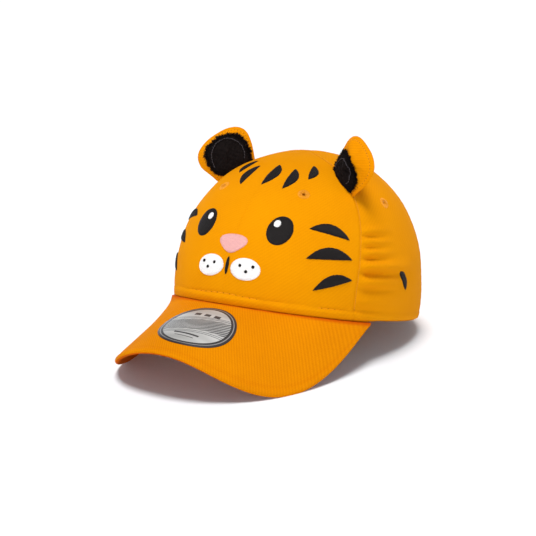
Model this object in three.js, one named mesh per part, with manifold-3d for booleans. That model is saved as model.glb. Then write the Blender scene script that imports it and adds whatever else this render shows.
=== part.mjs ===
// A child's six-panel baseball cap with two padded ears and an embroidered animal face.
// Millimetres, +Z up. The wearer faces -Y, and +X is the wearer's left.
// The cap rests by itself: on the two drooping lobes of its brim and on the rear of its lower edge.

import * as THREE from "three";
import { mergeVertices } from "three/addons/utils/BufferGeometryUtils.js";
import Module from "manifold-3d";

const wasm = await Module();
wasm.setup();

const degree = Math.PI / 180;
const { clamp, lerp } = THREE.MathUtils;

// The crown's lower edge: a rounded oval that is high at the front and on the floor at the rear
const edgeHalfWidth = 73.4;
const edgeHalfLength = 90.3;
const edgeSquareness = 2.16;
const frontEdgeHeight = 41.5;
const rearEdgeHeight = 0.4;
const sideEdgeDip = 1.6;
const hemTuck = 1.2;
const hemHeight = 7;

// The crown above it
const crownHeight = 120.8;
const apexSetback = 11.5;
const frontRoundness = 2.23;
const rearRoundness = 1.79;
const sideRoundness = 0.23;
const frontSwell = -5.1;
const rearSwell = 7.9;
const sideSwell = 4.6;
const panelThickness = 1.8;

// Clearance between two pieces that are sewn together, and between a band and the wall outside it
const seamGap = 0.35;
const bandGap = 0.6;

// Bearings of the seams, from the centre of the front
const sideSeamAngle = 61 * degree;
const sideSeamBow = 8.6 * degree;
const rearSeamAngle = 120 * degree;

// Rear arch and the strap across it
const archHalfWidth = 36;
const archHeight = 43;
const strapHeight = 19;
const strapThickness = 1.6;
const strapDrop = 0.9;

// Sweatband
const sweatbandHeight = 26;
const sweatbandThickness = 1.5;
const sweatbandEnd = 146 * degree;

// Brim
const brimThickness = 3.2;
const brimLength = 63.9;
const brimFrontDrop = 12.8;
const brimFrontEase = 1.445;
const brimPress = 0.3;
const brimTuck = 3;

// The brim's two sides, which are bent a little differently: the bearing that each reaches to, the
// powers that shape its outline, how far it flares and how that eases in, the power of its arch, the
// power by which its droop eases outwards, and how much of the droop its rim curls up again
const brimSides = {
  left: { reach: 70.9 * degree, fullness: 2.005, shoulder: 0.838, flare: 21.97 * degree, flareEase: 0.912,
    arch: 2.14, ease: 0.982, curl: -0.105 },
  right: { reach: 68.6 * degree, fullness: 2.793, shoulder: 0.785, flare: 15.25 * degree, flareEase: 0.664,
    arch: 2.122, ease: 0.572, curl: 0.141 },
};

// Ears, sewn into the side seams between two rises on the crown
const earHighRise = 68.9 * degree;
const earLowRise = 49.9 * degree;
const earLead = 2.5 * degree;
const earLean = -8.2 * degree;
const earHalfWidth = 17.1;
const earWidestHeight = 15.6;
const earTopHeight = 11.2;
const earShoulder = 1.79;
const earRoundness = 2.31;
const earSway = -1.7;
const earSideSweep = 6.1;
const earTopSweep = 7.2;
const earCornerLift = 3.2;
const earPadding = 5.2;
const earEdge = 2;
const earSeamAllowance = 5;

// Plush patch on the front of each ear
const plushPile = 3.4;
const plushBacking = 1.2;
const plushWidthShare = 0.74;
const plushTuft = 0.06;

// Embroidery and trim
const threadHeight = 0.7;
const threadEdge = 0.4;
const eyeletRadius = 4;
const eyeletHole = 1.5;
const eyeletHeight = 0.9;
const stickerRadius = 22.7;
const stickerThickness = 0.4;
const stickerAcross = 0.023;
const stickerOutward = 0.486;
const faceSpan = 52;
const stripeHalfLength = 15;

// Folds that stand out of the side panels behind their front seams. The height is a share of the
// crown's height above its edge, the swell and spread are shares of the panel's thickness, and the
// length is a share of the panel's width.
const sideFolds = [
  { height: 0.13, swell: 0.35, spread: 2, length: 0.45 },
  { height: 0.258, swell: 0.55, spread: 1.6, length: 0.5 },
  { height: 0.36, swell: 0.8, spread: 1.5, length: 0.65 },
  { height: 0.445, swell: 0.5, spread: 1.3, length: 0.4 },
  { height: 0.515, swell: 0.45, spread: 1.3, length: 0.42 },
  { height: 0.58, swell: 0.55, spread: 1.2, length: 0.42 },
];

const foldStart = 0.1;

// Rises of the crown's rows of facets, from the edge to just below the apex
const panelRises = [0, 2.5, 6, 12, 19, 27, 36, 45, 54, 63, 71, 78, 84, 88];
const foldedRises = [0, 2, 4.5, 7.5, 10.5, 13.5, 16.2, 19, 21.6, 24.3, 27, 29.6, 32.2, 34.8,
  38, 44, 52, 61, 70, 78, 84, 88];

const colours = {
  twill: { color: 0xf7a104, roughness: 0.9 },
  brimTwill: { color: 0xf59b02, roughness: 0.9 },
  band: { color: 0xd98703, roughness: 0.95 },
  plush: { color: 0x141013, roughness: 1 },
  blackThread: { color: 0x201a1c, roughness: 0.65 },
  whiteThread: { color: 0xf4f2ee, roughness: 0.65 },
  pinkThread: { color: 0xdc9c9b, roughness: 0.65 },
  orangeThread: { color: 0xf0980a, roughness: 0.7 },
  foil: { color: 0xc9ccce, roughness: 0.35, metalness: 0.6 },
};

const group = new THREE.Group();

function addPiece(name, geometry, colour) {
  const material = new THREE.MeshStandardMaterial(colours[colour]);
  const mesh = new THREE.Mesh(geometry, material);
  mesh.name = name;
  group.add(mesh);
  return mesh;
}

// Closed solids

function signedVolume(points, index) {
  let total = 0;
  const corners = [new THREE.Vector3(), new THREE.Vector3(), new THREE.Vector3()];
  for (let i = 0; i < index.length; i += 3) {
    corners.forEach((corner, k) => corner.fromBufferAttribute(points, index[i + k]));
    total += corners[0].dot(corners[1].clone().cross(corners[2])) / 6;
  }
  return total;
}

// Merges shared vertices, drops collapsed triangles and turns the faces outwards
function closedGeometry(points, index) {
  const loose = new THREE.BufferGeometry();
  loose.setAttribute("position", new THREE.Float32BufferAttribute(points, 3));
  loose.setIndex(index);
  const merged = mergeVertices(loose, 1e-4);
  const kept = [];
  const corner = Array.from(merged.index.array);
  for (let i = 0; i < corner.length; i += 3) {
    const [a, b, c] = corner.slice(i, i + 3);
    if (a !== b && b !== c && c !== a) kept.push(a, b, c);
  }
  if (signedVolume(merged.attributes.position, kept) < 0) kept.reverse();
  merged.setIndex(kept);
  return merged;
}

// A solid between an outer and an inner grid of points, closed round its four borders
function slab(outer, inner) {
  const rows = outer.length;
  const columns = outer[0].length;
  const below = rows * columns;
  const points = [...outer.flat(), ...inner.flat()].flatMap((point) => point.toArray());
  const index = [];
  const quad = (a, b, c, d) => index.push(a, b, c, a, c, d);
  for (let i = 0; i < rows - 1; i += 1) {
    for (let j = 0; j < columns - 1; j += 1) {
      const a = i * columns + j;
      quad(a, a + 1, a + columns + 1, a + columns);
      quad(below + a, below + a + columns, below + a + columns + 1, below + a + 1);
    }
    const left = i * columns;
    const right = left + columns - 1;
    quad(left, left + columns, below + left + columns, below + left);
    quad(right + columns, right, below + right, below + right + columns);
  }
  for (let j = 0; j < columns - 1; j += 1) {
    const last = (rows - 1) * columns + j;
    quad(j + 1, j, below + j, below + j + 1);
    quad(last, last + 1, below + last + 1, below + last);
  }
  return closedGeometry(points, index);
}

function mirrored(geometry) {
  const points = Array.from(geometry.attributes.position.array);
  const flipped = points.map((value, i) => (i % 3 === 0 ? -value : value));
  return closedGeometry(flipped, Array.from(geometry.index.array));
}

function toManifold(geometry) {
  return new wasm.Manifold(new wasm.Mesh({
    numProp: 3,
    vertProperties: new Float32Array(geometry.attributes.position.array),
    triVerts: new Uint32Array(geometry.index.array),
  }));
}

function cutAway(geometry, ...cutters) {
  let solid = toManifold(geometry);
  for (const cutter of cutters) solid = solid.subtract(toManifold(cutter));
  const mesh = solid.getMesh();
  const result = new THREE.BufferGeometry();
  result.setAttribute("position", new THREE.Float32BufferAttribute(mesh.vertProperties, 3));
  result.setIndex(Array.from(mesh.triVerts));
  return result;
}

// A three.js primitive with only its positions, and its shared vertices merged
function bare(geometry) {
  geometry.deleteAttribute("normal");
  geometry.deleteAttribute("uv");
  const merged = geometry.index ? geometry : mergeVertices(geometry, 1e-4);
  return closedGeometry(Array.from(merged.attributes.position.array), Array.from(merged.index.array));
}

// The crown's surface. A bearing is 0 at the front and 90 degrees at the wearer's left, and a rise
// is 0 at the lower edge and 90 degrees at the apex.

const signedPower = (value, power) => Math.sign(value) * Math.abs(value) ** power;

function edgePoint(bearing) {
  const x = edgeHalfWidth * signedPower(Math.sin(bearing), 2 / edgeSquareness);
  const y = -edgeHalfLength * signedPower(Math.cos(bearing), 2 / edgeSquareness);
  const backward = (1 + y / edgeHalfLength) / 2;
  const z = lerp(frontEdgeHeight, rearEdgeHeight, backward) - sideEdgeDip * Math.sin(bearing) ** 2;
  return new THREE.Vector3(x, y, z);
}

function crownPoint(bearing, rise) {
  const edge = edgePoint(bearing);
  const ahead = Math.cos(bearing);
  const aside = Math.sin(bearing);
  const roundness = lerp(rearRoundness, frontRoundness, (1 + ahead) / 2) + sideRoundness * aside ** 2;
  const inward = Math.cos(rise) ** (2 / roundness);
  const upward = Math.sin(rise) ** (2 / roundness);
  const height = (crownHeight - edge.z) * upward;
  const swell = frontSwell * Math.max(ahead, 0) + rearSwell * Math.max(-ahead, 0) + sideSwell * aside ** 2;
  const tuck = hemTuck * Math.max(0, 1 - height / hemHeight) ** 2;
  const push = swell * Math.sin(2 * rise) - tuck;
  return new THREE.Vector3(
    edge.x * inward + aside * push,
    apexSetback + (edge.y - apexSetback) * inward - ahead * push,
    edge.z + height,
  );
}

// Directions along the crown at a point: round it, up it and out of it
function frameOf(surface, u, v, step) {
  const round = surface(u + step, v).sub(surface(u - step, v)).normalize();
  const up = surface(u, v + step).sub(surface(u, v - step)).normalize();
  const out = round.clone().cross(up).normalize();
  return { round, up, out };
}

function crownFrame(bearing, rise) {
  return frameOf(crownPoint, bearing, clamp(rise, 2 * degree, 89.4 * degree), 0.3 * degree);
}

function crownOffset(bearing, rise, offset) {
  const out = crownFrame(bearing, rise).out;
  const point = crownPoint(bearing, rise).addScaledVector(out, offset);
  if (rise === 0) point.z = edgePoint(bearing).z;
  return point;
}

// Half the seam's gap as an angle round the apex
function gapAngle(bearing, rise) {
  const point = crownPoint(bearing, rise);
  const distance = Math.hypot(point.x, point.y - apexSetback);
  return Math.asin(Math.min(1, seamGap / 2 / distance));
}

const centreFront = () => 0;
const centreRear = () => Math.PI;
const sideSeam = (rise) => (
  sideSeamAngle + sideSeamBow * Math.sin(2 * rise) * Math.sqrt(rise / (45 * degree))
);
const rearSeam = () => rearSeamAngle;

// The rise where a panel's point is a seam gap away from the apex
function tipRise(bearing) {
  const spread = Math.hypot(edgePoint(bearing).x, edgePoint(bearing).y - apexSetback);
  const roundness = lerp(rearRoundness, frontRoundness, (1 + Math.cos(bearing)) / 2)
    + sideRoundness * Math.sin(bearing) ** 2;
  return Math.acos((1.3 * seamGap / spread) ** (roundness / 2));
}

// How far the folds stand out of a side panel, at a share of the way back from its front seam
function foldSwell(share, heightShare) {
  let swell = 0;
  for (const fold of sideFolds) {
    const spread = fold.spread * panelThickness / (crownHeight - frontEdgeHeight / 2);
    const across = Math.exp(-(((heightShare - fold.height) / spread) ** 2));
    const along = Math.max(0, 1 - share / fold.length) * Math.min(1, share / foldStart);
    swell += fold.swell * panelThickness * across * along;
  }
  return swell;
}

function crownPanel(from, to, rises, columns, folded) {
  const outer = [];
  const inner = [];
  const addRow = (rise, bearings) => {
    const place = (offset) => bearings.map((bearing, j) => {
      const edge = edgePoint(bearing).z;
      const heightShare = (crownPoint(bearing, rise).z - edge) / (crownHeight - edge);
      const swell = folded ? foldSwell(j / columns, heightShare) : 0;
      return crownOffset(bearing, rise, offset + swell);
    });
    outer.push(place(0));
    inner.push(place(-panelThickness));
  };
  for (const value of rises) {
    const rise = value * degree;
    const start = from(rise) + gapAngle(from(rise), rise);
    const end = to(rise) - gapAngle(to(rise), rise);
    addRow(rise, Array.from({ length: columns + 1 }, (_, j) => lerp(start, end, j / columns)));
  }
  const middle = (from(Math.PI / 2) + to(Math.PI / 2)) / 2;
  addRow(tipRise(middle), Array(columns + 1).fill(middle));
  return slab(outer, inner);
}

// A band that follows the crown at a depth below its surface, from one bearing round to another
function crownBand({ from, to, columns, depth, thickness, height, drop }) {
  const heights = [0, 0.35, 0.7, 1];
  const place = (offset) => heights.map((share) => (
    Array.from({ length: columns + 1 }, (_, j) => {
      const bearing = lerp(from, to, j / columns);
      const rise = share === 0 ? 0 : riseAtHeight(bearing, height * share);
      const point = crownOffset(bearing, rise, -offset);
      point.z = Math.max(0, point.z - drop * (1 - share));
      return point;
    })
  ));
  return slab(place(depth), place(depth + thickness));
}

// The rise at a height above the crown's edge
function riseAtHeight(bearing, height) {
  let low = 0;
  let high = 80 * degree;
  for (let i = 0; i < 40; i += 1) {
    const middle = (low + high) / 2;
    if (crownPoint(bearing, middle).z - edgePoint(bearing).z < height) low = middle;
    else high = middle;
  }
  return low;
}

// The brim's middle surface, at a share across it from -1 to 1 and a share outwards from 0 to 1

const brimSide = (across) => (across < 0 ? brimSides.right : brimSides.left);

function brimExtent(across) {
  const { fullness, shoulder } = brimSide(across);
  return brimLength * (1 - Math.abs(across) ** fullness) ** (1 / shoulder);
}

function brimPoint(across, outward, droop = brimSide(across).droop) {
  const side = brimSide(across);
  const edge = edgePoint(across * side.reach);
  const flare = side.flare * signedPower(across, side.flareEase);
  const distance = outward * brimExtent(across);
  const x = edge.x + distance * Math.sin(flare);
  const y = edge.y - distance * Math.cos(flare);
  const reach = Math.max(0, distance / brimLength);
  const arch = (Math.abs(x) / edgeHalfWidth) ** side.arch;
  const frontDrop = brimFrontDrop * reach ** brimFrontEase;
  const sideDrop = droop * arch * (reach ** side.ease - side.curl * reach ** 3);
  return new THREE.Vector3(x, y, edge.z - seamGap - brimThickness / 2 - frontDrop - sideDrop);
}

// The rounding of the brim's rim: how far back from its end, and how thick there, as shares of
// half the brim's thickness
const brimRim = { back: 0.3, offset: 0.72 };

// How far each side of the brim droops: until its lobe presses on the floor
for (const [sign, side] of [[1, brimSides.left], [-1, brimSides.right]]) {
  const lowest = (droop) => {
    const surface = (u, v) => brimPoint(u, v, droop);
    let height = Infinity;
    for (let across = 0.5; across < 0.96; across += 0.03) {
      const outward = 1 - brimRim.back * brimThickness / 2 / brimExtent(sign * across);
      const { out } = frameOf(surface, sign * across, outward, 0.003);
      const rim = surface(sign * across, outward).z + out.z * brimRim.offset * brimThickness / 2;
      height = Math.min(height, rim);
    }
    return height;
  };
  let low = 0;
  let high = 3 * frontEdgeHeight;
  for (let i = 0; i < 40; i += 1) {
    const middle = (low + high) / 2;
    if (lowest(middle) > -brimPress) low = middle;
    else high = middle;
  }
  side.droop = low;
}

function brimOffset(across, outward, offset) {
  const frame = frameOf(brimPoint, clamp(across, -0.96, 0.96), Math.max(outward, 0.03), 0.003);
  const point = brimPoint(across, outward).addScaledVector(frame.out, -offset);
  point.z = Math.max(0, point.z);
  return point;
}

function brimGeometry() {
  const columns = 28;
  const endShare = 0.982;
  const radius = brimThickness / 2;
  const inside = [0, 0.12, 0.28, 0.46, 0.64, 0.82, 1];
  const upper = [];
  const lower = [];
  for (let i = 0; i <= columns; i += 1) {
    const across = endShare * Math.sin((i / columns - 0.5) * Math.PI);
    const extent = brimExtent(across);
    const nose = Math.min(radius, extent / 2);
    const stations = [
      { distance: -brimTuck, offset: radius },
      ...inside.map((share) => ({ distance: (extent - nose) * share, offset: radius })),
      { distance: extent - brimRim.back * nose, offset: brimRim.offset * radius },
      { distance: extent, offset: 0 },
    ];
    upper.push(stations.map((at) => brimOffset(across, at.distance / extent, at.offset)));
    lower.push(stations.map((at) => brimOffset(across, at.distance / extent, -at.offset)));
  }
  return slab(upper, lower);
}

// Flat outlines laid on a curved surface: finds the point that lies above x, y of the tangent
// plane at an anchor, and lifts it off the surface
function layOn(surface, frame, anchor, step) {
  const origin = surface(anchor.u, anchor.v);
  const { round, up } = frame(anchor.u, anchor.v);
  const flatten = (u, v) => {
    const offset = surface(u, v).sub(origin);
    return [offset.dot(round), offset.dot(up)];
  };
  return (x, y, lift) => {
    let { u, v } = anchor;
    for (let i = 0; i < 6; i += 1) {
      const here = flatten(u, v);
      const alongU = flatten(u + step, v).map((value, k) => (value - here[k]) / step);
      const alongV = flatten(u, v + step).map((value, k) => (value - here[k]) / step);
      const miss = [x - here[0], y - here[1]];
      const area = alongU[0] * alongV[1] - alongU[1] * alongV[0];
      u += (miss[0] * alongV[1] - miss[1] * alongV[0]) / area;
      v += (miss[1] * alongU[0] - miss[0] * alongU[1]) / area;
    }
    return surface(u, v).addScaledVector(frame(u, v).out, lift);
  };
}

// A leaf or oval along a slightly bent centre line. A sharpness of 0.5 gives an oval, and more
// gives pointed ends; a positive taper makes the upper end the broad one.
function patch(lay, { x = 0, y = 0, tilt = 0, halfLength, halfWidth, bend = 0, sharpness = 0.5,
  taper = 0, lift = seamGap, height = threadHeight, rows = 7, columns = 4 }) {
  const place = (edgeLift, middleLift) => Array.from({ length: rows + 1 }, (_, i) => {
    const along = Math.sin((i / rows - 0.5) * Math.PI);
    const width = halfWidth * (1 - along ** 2) ** sharpness * (1 + taper * along);
    return Array.from({ length: columns + 1 }, (__, j) => {
      const side = 2 * j / columns - 1;
      const across = side * width + bend * (1 - along ** 2);
      const rounding = (1 - side ** 2) * (1 - along ** 2);
      return lay(
        x + across * Math.cos(tilt) - along * halfLength * Math.sin(tilt),
        y + across * Math.sin(tilt) + along * halfLength * Math.cos(tilt),
        lerp(edgeLift, middleLift, rounding),
      );
    });
  });
  const edgeHeight = Math.min(threadEdge, height);
  return slab(place(lift + edgeHeight, lift + height), place(lift, lift));
}

// Ears

// The left ear's own axes: along its base from the high end to the low end, up it and out in front
function earAxes() {
  const high = crownPoint(sideSeam(earHighRise) - earLead, earHighRise);
  const low = crownPoint(sideSeam(earLowRise) - earLead, earLowRise);
  const along = low.clone().sub(high).normalize();
  const plumb = new THREE.Vector3(0, 0, 1).addScaledVector(along, -along.z).normalize();
  const facing = plumb.clone().cross(along);
  if (facing.y > 0) facing.negate();
  const up = plumb.clone().multiplyScalar(Math.cos(earLean)).addScaledVector(facing, Math.sin(earLean));
  const front = facing.clone().multiplyScalar(Math.cos(earLean)).addScaledVector(plumb, -Math.sin(earLean));
  const base = high.clone().add(low).multiplyScalar(0.5);
  return { along, up, front, base, baseHalfWidth: high.distanceTo(low) / 2 };
}

const ear = earAxes();
const earHeight = earWidestHeight + earTopHeight;

function earWidthAt(height) {
  if (height >= earWidestHeight) {
    const over = Math.min(1, (height - earWidestHeight) / earTopHeight);
    return earHalfWidth * (1 - over ** earRoundness) ** (1 / earRoundness);
  }
  const under = clamp(1 - height / earWidestHeight, 0, 1);
  return lerp(ear.baseHalfWidth, earHalfWidth, 1 - under ** earShoulder);
}

// A point of the ear: across and height in its plane, swept back at its sides and top
function earPoint(across, height, offset) {
  const heightShare = height / earHeight;
  const widthShare = across / earHalfWidth;
  const sweep = -earSideSweep * widthShare ** 2 - earTopSweep * heightShare ** 2
    + earCornerLift * heightShare * widthShare ** 2;
  const swayed = across + earSway * Math.max(0, heightShare) ** 1.3;
  return ear.base.clone()
    .addScaledVector(ear.along, swayed)
    .addScaledVector(ear.up, height)
    .addScaledVector(ear.front, sweep + offset);
}

function earHalfThickness(across, height) {
  const side = Math.min(1, Math.abs(across) / Math.max(earWidthAt(height), 0.01));
  const top = clamp(height / earHeight, 0, 1);
  return lerp(earEdge, earPadding, (1 - side ** 3) * (1 - top ** 4)) / 2;
}

// Heights of an ear's rows: below its base, up to its widest line and round its top
function earRows(lowest, lowerRows, upperRows) {
  const lower = Array.from({ length: lowerRows + 1 }, (_, i) => earWidestHeight * i / lowerRows);
  const upper = Array.from({ length: upperRows }, (_, i) => (
    earWidestHeight + earTopHeight * Math.sin((i + 1) / upperRows * Math.PI / 2)
  ));
  return [-lowest, ...lower, ...upper];
}

function earGeometry() {
  const columns = 10;
  const place = (sign) => earRows(earSeamAllowance, 4, 6).map((height) => (
    Array.from({ length: columns + 1 }, (_, j) => {
      const across = earWidthAt(height) * Math.sin((j / columns - 0.5) * Math.PI);
      return earPoint(across, height, sign * earHalfThickness(across, height));
    })
  ));
  return cutAway(slab(place(1), place(-1)), crownCutter());
}

// A block of the crown's surface under the ear, a seam gap proud, which trims what is sewn to it
function crownCutter() {
  const depth = 14;
  const bearings = Array.from({ length: 21 }, (_, j) => (30 + 3.5 * j) * degree);
  const rises = Array.from({ length: 17 }, (_, i) => (32 + 3.25 * i) * degree);
  const place = (offset) => rises.map((rise) => (
    bearings.map((bearing) => crownOffset(bearing, rise, offset))
  ));
  return slab(place(seamGap), place(-depth));
}

// The plush patch: a backing whose face and outline are broken up into tufts
function plushGeometry(topShare) {
  const columns = 7;
  const rows = earRows(earSeamAllowance, 5, 7);
  const tufted = (i, j) => ((i + j) % 2 === 0 ? 1 : -1);
  const place = (front) => rows.map((height, i) => (
    Array.from({ length: columns + 1 }, (_, j) => {
      const side = 2 * j / columns - 1;
      const onEdge = j === 0 || j === columns;
      const spread = onEdge ? 1 + plushTuft * tufted(i, 0) : 1;
      const across = side * spread * plushWidthShare * earWidthAt(height);
      const up = height * topShare;
      const seat = earHalfThickness(across, up) + seamGap;
      const crown = (1 - side ** 4) * (i === rows.length - 1 ? 0 : 1);
      const pile = plushBacking + (plushPile - plushBacking) * crown * (0.85 + 0.15 * tufted(i, j));
      return earPoint(across, up, seat + (front ? pile : 0));
    })
  ));
  return cutAway(slab(place(true), place(false)), crownCutter());
}

// Panels

const archCutter = (() => {
  const shape = new THREE.Shape();
  const springing = archHeight - archHalfWidth * 0.9;
  shape.moveTo(-archHalfWidth, -panelThickness);
  shape.lineTo(archHalfWidth, -panelThickness);
  shape.lineTo(archHalfWidth, springing);
  shape.absellipse(0, springing, archHalfWidth, archHalfWidth * 0.9, 0, Math.PI, false, 0);
  shape.lineTo(-archHalfWidth, -panelThickness);
  const depth = edgeHalfLength;
  const cutter = new THREE.ExtrudeGeometry(shape, { depth, bevelEnabled: false, curveSegments: 14 });
  cutter.rotateX(Math.PI / 2);
  cutter.translate(0, depth * 1.4, 0);
  return bare(cutter);
})();

// Where an eyelet sits on each left panel
const eyelets = {
  front: { bearing: 36 * degree, rise: 50.2 * degree },
  side: { bearing: 90.7 * degree, rise: 44.8 * degree },
  back: { bearing: 148 * degree, rise: 52 * degree },
};

function standOnCrown(geometry, { bearing, rise }, lift) {
  const { round, up, out } = crownFrame(bearing, rise);
  geometry.applyMatrix4(new THREE.Matrix4().makeBasis(up, out, round.clone()));
  const place = crownPoint(bearing, rise).addScaledVector(out, lift);
  return geometry.translate(place.x, place.y, place.z);
}

function eyeletCutter(place) {
  const hole = new THREE.CylinderGeometry(eyeletHole, eyeletHole, 6 * panelThickness, 10);
  return bare(standOnCrown(hole, place, 0));
}

function eyeletRing(place) {
  const profile = [
    [eyeletHole, 0],
    [eyeletRadius, 0],
    [eyeletRadius, eyeletHeight * 0.4],
    [eyeletRadius * 0.72, eyeletHeight],
    [eyeletHole, eyeletHeight * 0.5],
    [eyeletHole, 0],
  ].map(([x, y]) => new THREE.Vector2(x, y));
  return bare(standOnCrown(new THREE.LatheGeometry(profile, 10), place, seamGap));
}

const leftPanels = {
  front: crownPanel(centreFront, sideSeam, panelRises, 8, false),
  side: crownPanel(sideSeam, rearSeam, foldedRises, 8, true),
  back: crownPanel(rearSeam, centreRear, panelRises, 8, false),
};

function addPanels(suffix, turn) {
  for (const [name, geometry] of Object.entries(leftPanels)) {
    const cutters = [eyeletCutter(eyelets[name])];
    if (name === "back") cutters.push(archCutter);
    addPiece(`panel_${name}_${suffix}`, turn(cutAway(geometry, ...cutters)), "twill");
    addPiece(`eyelet_${name}_${suffix}`, turn(eyeletRing(eyelets[name])), "orangeThread");
  }
}

// Embroidery

const onCrown = (bearing, rise) => (
  layOn(crownPoint, crownFrame, { u: bearing * degree, v: rise * degree }, 0.1 * degree)
);

// A flat shape whose lengths are shares of one size
const sized = ({ x = 0, y = 0, halfLength, halfWidth, ...rest }, size) => (
  { x: x * size, y: y * size, halfLength: halfLength * size, halfWidth: halfWidth * size, ...rest }
);

// The plain animal face, laid about the centre front, in shares of the span between its eyes
const face = onCrown(0, 20);
const onThread = 2 * seamGap + threadHeight;
const faceSides = {
  eye: { colour: "blackThread", x: 0.5, y: 0.346, halfLength: 0.183, halfWidth: 0.142 },
  eye_glint: { colour: "whiteThread", x: 0.454, y: 0.415, halfLength: 0.044, halfWidth: 0.038,
    lift: onThread, rows: 6 },
  muzzle: { colour: "whiteThread", x: 0.235, y: -0.177, halfLength: 0.127, halfWidth: 0.185 },
};
const whisker = { halfLength: 0.019, halfWidth: 0.019, lift: onThread, rows: 4, columns: 2 };
const whiskerPlaces = [{ x: 0.173, y: -0.146 }, { x: 0.258, y: -0.204 }, { x: 0.331, y: -0.138 }];
const nose = { y: 0.1, halfLength: 0.115, halfWidth: 0.173, taper: 0.42, rows: 10 };
const mouth = { y: -0.162, halfLength: 0.104, halfWidth: 0.021, rows: 6, columns: 2 };

// Stripes on each side of the crown: above the brow, on the cheek and behind the side seam. Their
// lengths are shares of the longest one's half length.
const stripeSides = [
  { name: "brow_stripe_inner", bearing: 21, rise: 60, tilt: -8, halfLength: 0.733, halfWidth: 0.227 },
  { name: "brow_stripe_outer", bearing: 42, rise: 65, tilt: -16, halfLength: 0.567, halfWidth: 0.187 },
  { name: "cheek_stripe_upper", bearing: 51, rise: 31, tilt: 76, halfLength: 0.867, halfWidth: 0.227 },
  { name: "cheek_stripe_middle", bearing: 50, rise: 20.5, tilt: 88, halfLength: 1, halfWidth: 0.247 },
  { name: "cheek_stripe_lower", bearing: 51, rise: 10.5, tilt: 100, halfLength: 0.867, halfWidth: 0.227 },
  { name: "side_stripe", bearing: 91, rise: 13, tilt: 35, halfLength: 0.533, halfWidth: 0.187 },
];
const browStripe = { bearing: 0, rise: 62, tilt: 0, halfLength: 0.8, halfWidth: 0.253 };

function addStripe(name, stripe, turn) {
  const shape = sized(stripe, stripeHalfLength);
  const leaf = { ...shape, tilt: stripe.tilt * degree, bend: 0.22 * shape.halfLength, sharpness: 0.95 };
  addPiece(name, turn(patch(onCrown(stripe.bearing, stripe.rise), leaf)), "blackThread");
}

function addFaceSide(suffix, turn) {
  for (const [name, { colour, ...shape }] of Object.entries(faceSides)) {
    addPiece(`${name}_${suffix}`, turn(patch(face, sized(shape, faceSpan))), colour);
  }
  whiskerPlaces.forEach((place, i) => {
    const dot = sized({ ...whisker, ...place }, faceSpan);
    addPiece(`whisker_${i + 1}_${suffix}`, turn(patch(face, dot)), "blackThread");
  });
  for (const stripe of stripeSides) addStripe(`${stripe.name}_${suffix}`, stripe, turn);
}

function addFaceMiddle() {
  addPiece("nose", patch(face, sized(nose, faceSpan)), "pinkThread");
  addPiece("mouth", patch(face, sized(mouth, faceSpan)), "blackThread");
  addStripe("brow_stripe_middle", browStripe, (geometry) => geometry);
}

// Sticker on the brim's upper face
function stickerGeometry() {
  const topPoint = (across, outward) => brimOffset(across, outward, brimThickness / 2);
  const topFrame = (across, outward) => {
    const frame = frameOf(brimPoint, across, outward, 0.003);
    return { round: frame.round, up: frame.up, out: frame.out.negate() };
  };
  const lay = layOn(topPoint, topFrame, { u: stickerAcross, v: stickerOutward }, 0.002);
  return patch(lay, { halfLength: stickerRadius, halfWidth: stickerRadius,
    height: stickerThickness, rows: 10, columns: 6 });
}

// Assembly

const sides = [
  { suffix: "left", turn: (geometry) => geometry, plushTop: 0.62 },
  { suffix: "right", turn: mirrored, plushTop: 0.87 },
];
for (const { suffix, turn, plushTop } of sides) {
  addPanels(suffix, turn);
  addPiece(`ear_${suffix}`, turn(earGeometry()), "twill");
  addPiece(`ear_fur_${suffix}`, turn(plushGeometry(plushTop)), "plush");
  addFaceSide(suffix, turn);
}
addFaceMiddle();
addPiece("brim", brimGeometry(), "brimTwill");
addPiece("brim_sticker", stickerGeometry(), "foil");
addPiece("sweatband", crownBand({
  from: -sweatbandEnd,
  to: sweatbandEnd,
  columns: 36,
  depth: panelThickness + bandGap,
  thickness: sweatbandThickness,
  height: sweatbandHeight,
  drop: 0,
}), "band");
addPiece("back_strap", crownBand({
  from: sweatbandEnd + seamGap / edgeHalfLength,
  to: 2 * Math.PI - sweatbandEnd - seamGap / edgeHalfLength,
  columns: 12,
  depth: panelThickness + bandGap,
  thickness: strapThickness,
  height: strapHeight,
  drop: strapDrop,
}), "twill");

// The origin is the middle of the cap's box, on the floor
group.updateMatrixWorld(true);
const box = new THREE.Box3().setFromObject(group);
group.position.set(0, -(box.min.y + box.max.y) / 2, -box.min.z);
group.updateMatrixWorld(true);

export default group;
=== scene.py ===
"""Looks of the baseball cap with ears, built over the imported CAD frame.

Shapes are worked out in millimetres with the cap's own surface functions, the same as the part's,
and go to metres when a mesh is made.
"""

import math

import bpy
import numpy as np
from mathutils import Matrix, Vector
from mathutils.bvhtree import BVHTree


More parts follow.
